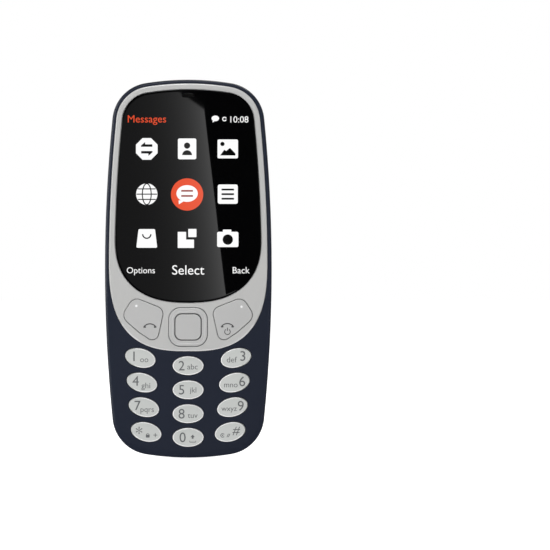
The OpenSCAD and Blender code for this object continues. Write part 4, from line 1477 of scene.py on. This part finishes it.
def grown(name, tree, points, values, bodyName, slot, nodes=(), shift=(0, 0, 0), sharp=32):
    carrier = meshPiece(name, points, [])
    step = carrier.modifiers.new("grow", "NODES")
    step.node_group = tree
    for item in tree.interface.items_tree:
        if item.item_type == "SOCKET" and item.in_out == "INPUT" and item.name in values:
            step[item.identifier] = values[item.name]
    bakeModifiers(carrier)
    carrier.data.transform(Matrix.Translation(shift))
    finishPiece(carrier, bodyName, slot, nodes, sharp=sharp)
    return carrier


screwShape = {"head": 1.1, "headFrom": 2.08, "headTo": 2.75, "shank": 0.6, "pitch": 0.35, "depth": 0.28}


# shank along y with its thread, head at the back
def buildScrew(name, head, low, shoulder, top, slotDepth):
    s = screwShape
    rings = []
    y = low
    while y < shoulder:
        rings += [[at(p, min(y, shoulder)) for p in discLoop(0, 0, s["shank"] - 0.05, 24)],
                  [at(p, min(y + s["pitch"] / 2, shoulder)) for p in discLoop(0, 0, s["shank"], 24)]]
        y += s["pitch"]
    rings += [[at(p, y) for p in discLoop(0, 0, r, 24)] for r, y in (
        (head - 0.02, shoulder), (head, shoulder + 0.05), (head, top - 0.15), (head - 0.15, top),
        (head * 0.3, top))]
    screw = loft(name, rings)
    combine(screw, [boxPiece("slot", (-head * 0.72, top - slotDepth, -0.15), (head * 0.72, top + 1, 0.15)),
                    boxPiece("slot", (-0.15, top - slotDepth, -head * 0.72), (0.15, top + 1, head * 0.72))])
    return screw


def buildRepeats():
    placed, woven = placedPartsTree(), wovenTree()
    s = screwShape
    long = buildScrew("longScrew", s["head"], -3.3, s["headFrom"], s["headTo"], s["depth"])
    short = buildScrew("shortScrew", 1.0, -3.3, -0.6, 0, 0.25)
    steel = {"Material": materials["screw_steel"], "Turn": 1.5, "Smallest": 1.0, "Seed": 4}
    grown("housingScrews", placed, [at(p, 0) for p in housingScrews], {**steel, "Part": long}, "phone",
          "screw_steel",
          ["housing_screws"])
    grown("boardScrews", placed, [at(p, 0) for p in boardScrews], {**steel, "Part": short}, "phone",
          "screw_steel",
          ["board_screws"])
    rings = [[at(p, y) for p in discLoop(0, 0, r, 28)] for r, y in (
        (1.9, -1.6), (1.9, -1.65), (1.75, -1.75), (1.45, -1.84), (1.0, -1.88), (0.5, -1.9))]
    dome = loft("keyDome", rings)
    spots = [(x, 0, z) for x, z, tilt in keySpots.values()] + [(0, 0, 40)]
    spots += [(side * x, 0, z) for side in (-1, 1) for x, z in ((11, 38.6), (16, 44.4))]
    spots += [(5.1 * math.cos(a), 0, 40 + 5.1 * math.sin(a))
              for a in (0, math.pi / 2, math.pi, 1.5 * math.pi)]
    grown("keyDomes", placed, spots[:-4], {"Material": materials["gold_contact"], "Turn": 0.0,
                                           "Smallest": 1.0,
                                           "Seed": 1, "Part": dome}, "phone", "gold_contact", ["key_domes"])
    grown("ringDomes", placed, spots[-4:], {"Material": materials["gold_contact"], "Turn": 0.0,
                                            "Smallest": 0.4,
                                            "Seed": 1, "Part": dome}, "phone", "gold_contact")
    chip = loft("chip", [[at(p, y) for p in barLoop(0, 0, w, h, 0.06)] for w, h, y in (
        (1.3, 0.8, -0.62), (1.3, 0.8, -0.3), (1.2, 0.7, -0.2))])
    chips = [(x, 0, z) for x in (-6.3, 6.3) for z in (83.6, 85.4, 87.2, 89)]  # beside the camera
    chips += [(-4.2 - 2.1 * i, 0, 39.4) for i in range(6)] + [(-12.6, 0, 93), (-12.6, 0, 94.6)]
    grown("boardChips", placed, chips, {"Material": materials["dark_plastic"], "Turn": 0.0,
                                        "Smallest": 0.75,
                                        "Seed": 7, "Part": chip}, "phone", "dark_plastic")
    for part in (long, short, dome, chip):
        bpy.data.objects.remove(part)
    for node, bodyName, pitch in (("loudspeaker_mesh", "cover", 0.3), ("earpiece_mesh", "phone", 0.22)):
        low, high = nodeBox(node)
        size, centre = high - low, (low + high) / 2
        values = {"Width": size.x - 0.1, "Height": size.z - 0.1, "Pitch": pitch, "Wire": pitch * 0.2,
                  "Material": materials["mesh_cloth"]}
        grown(node + "Weave", woven, [(0, 0, 0)], values, bodyName, "mesh_cloth", [node], centre, sharp=60)


buildRepeats()
print("repeated parts: done")
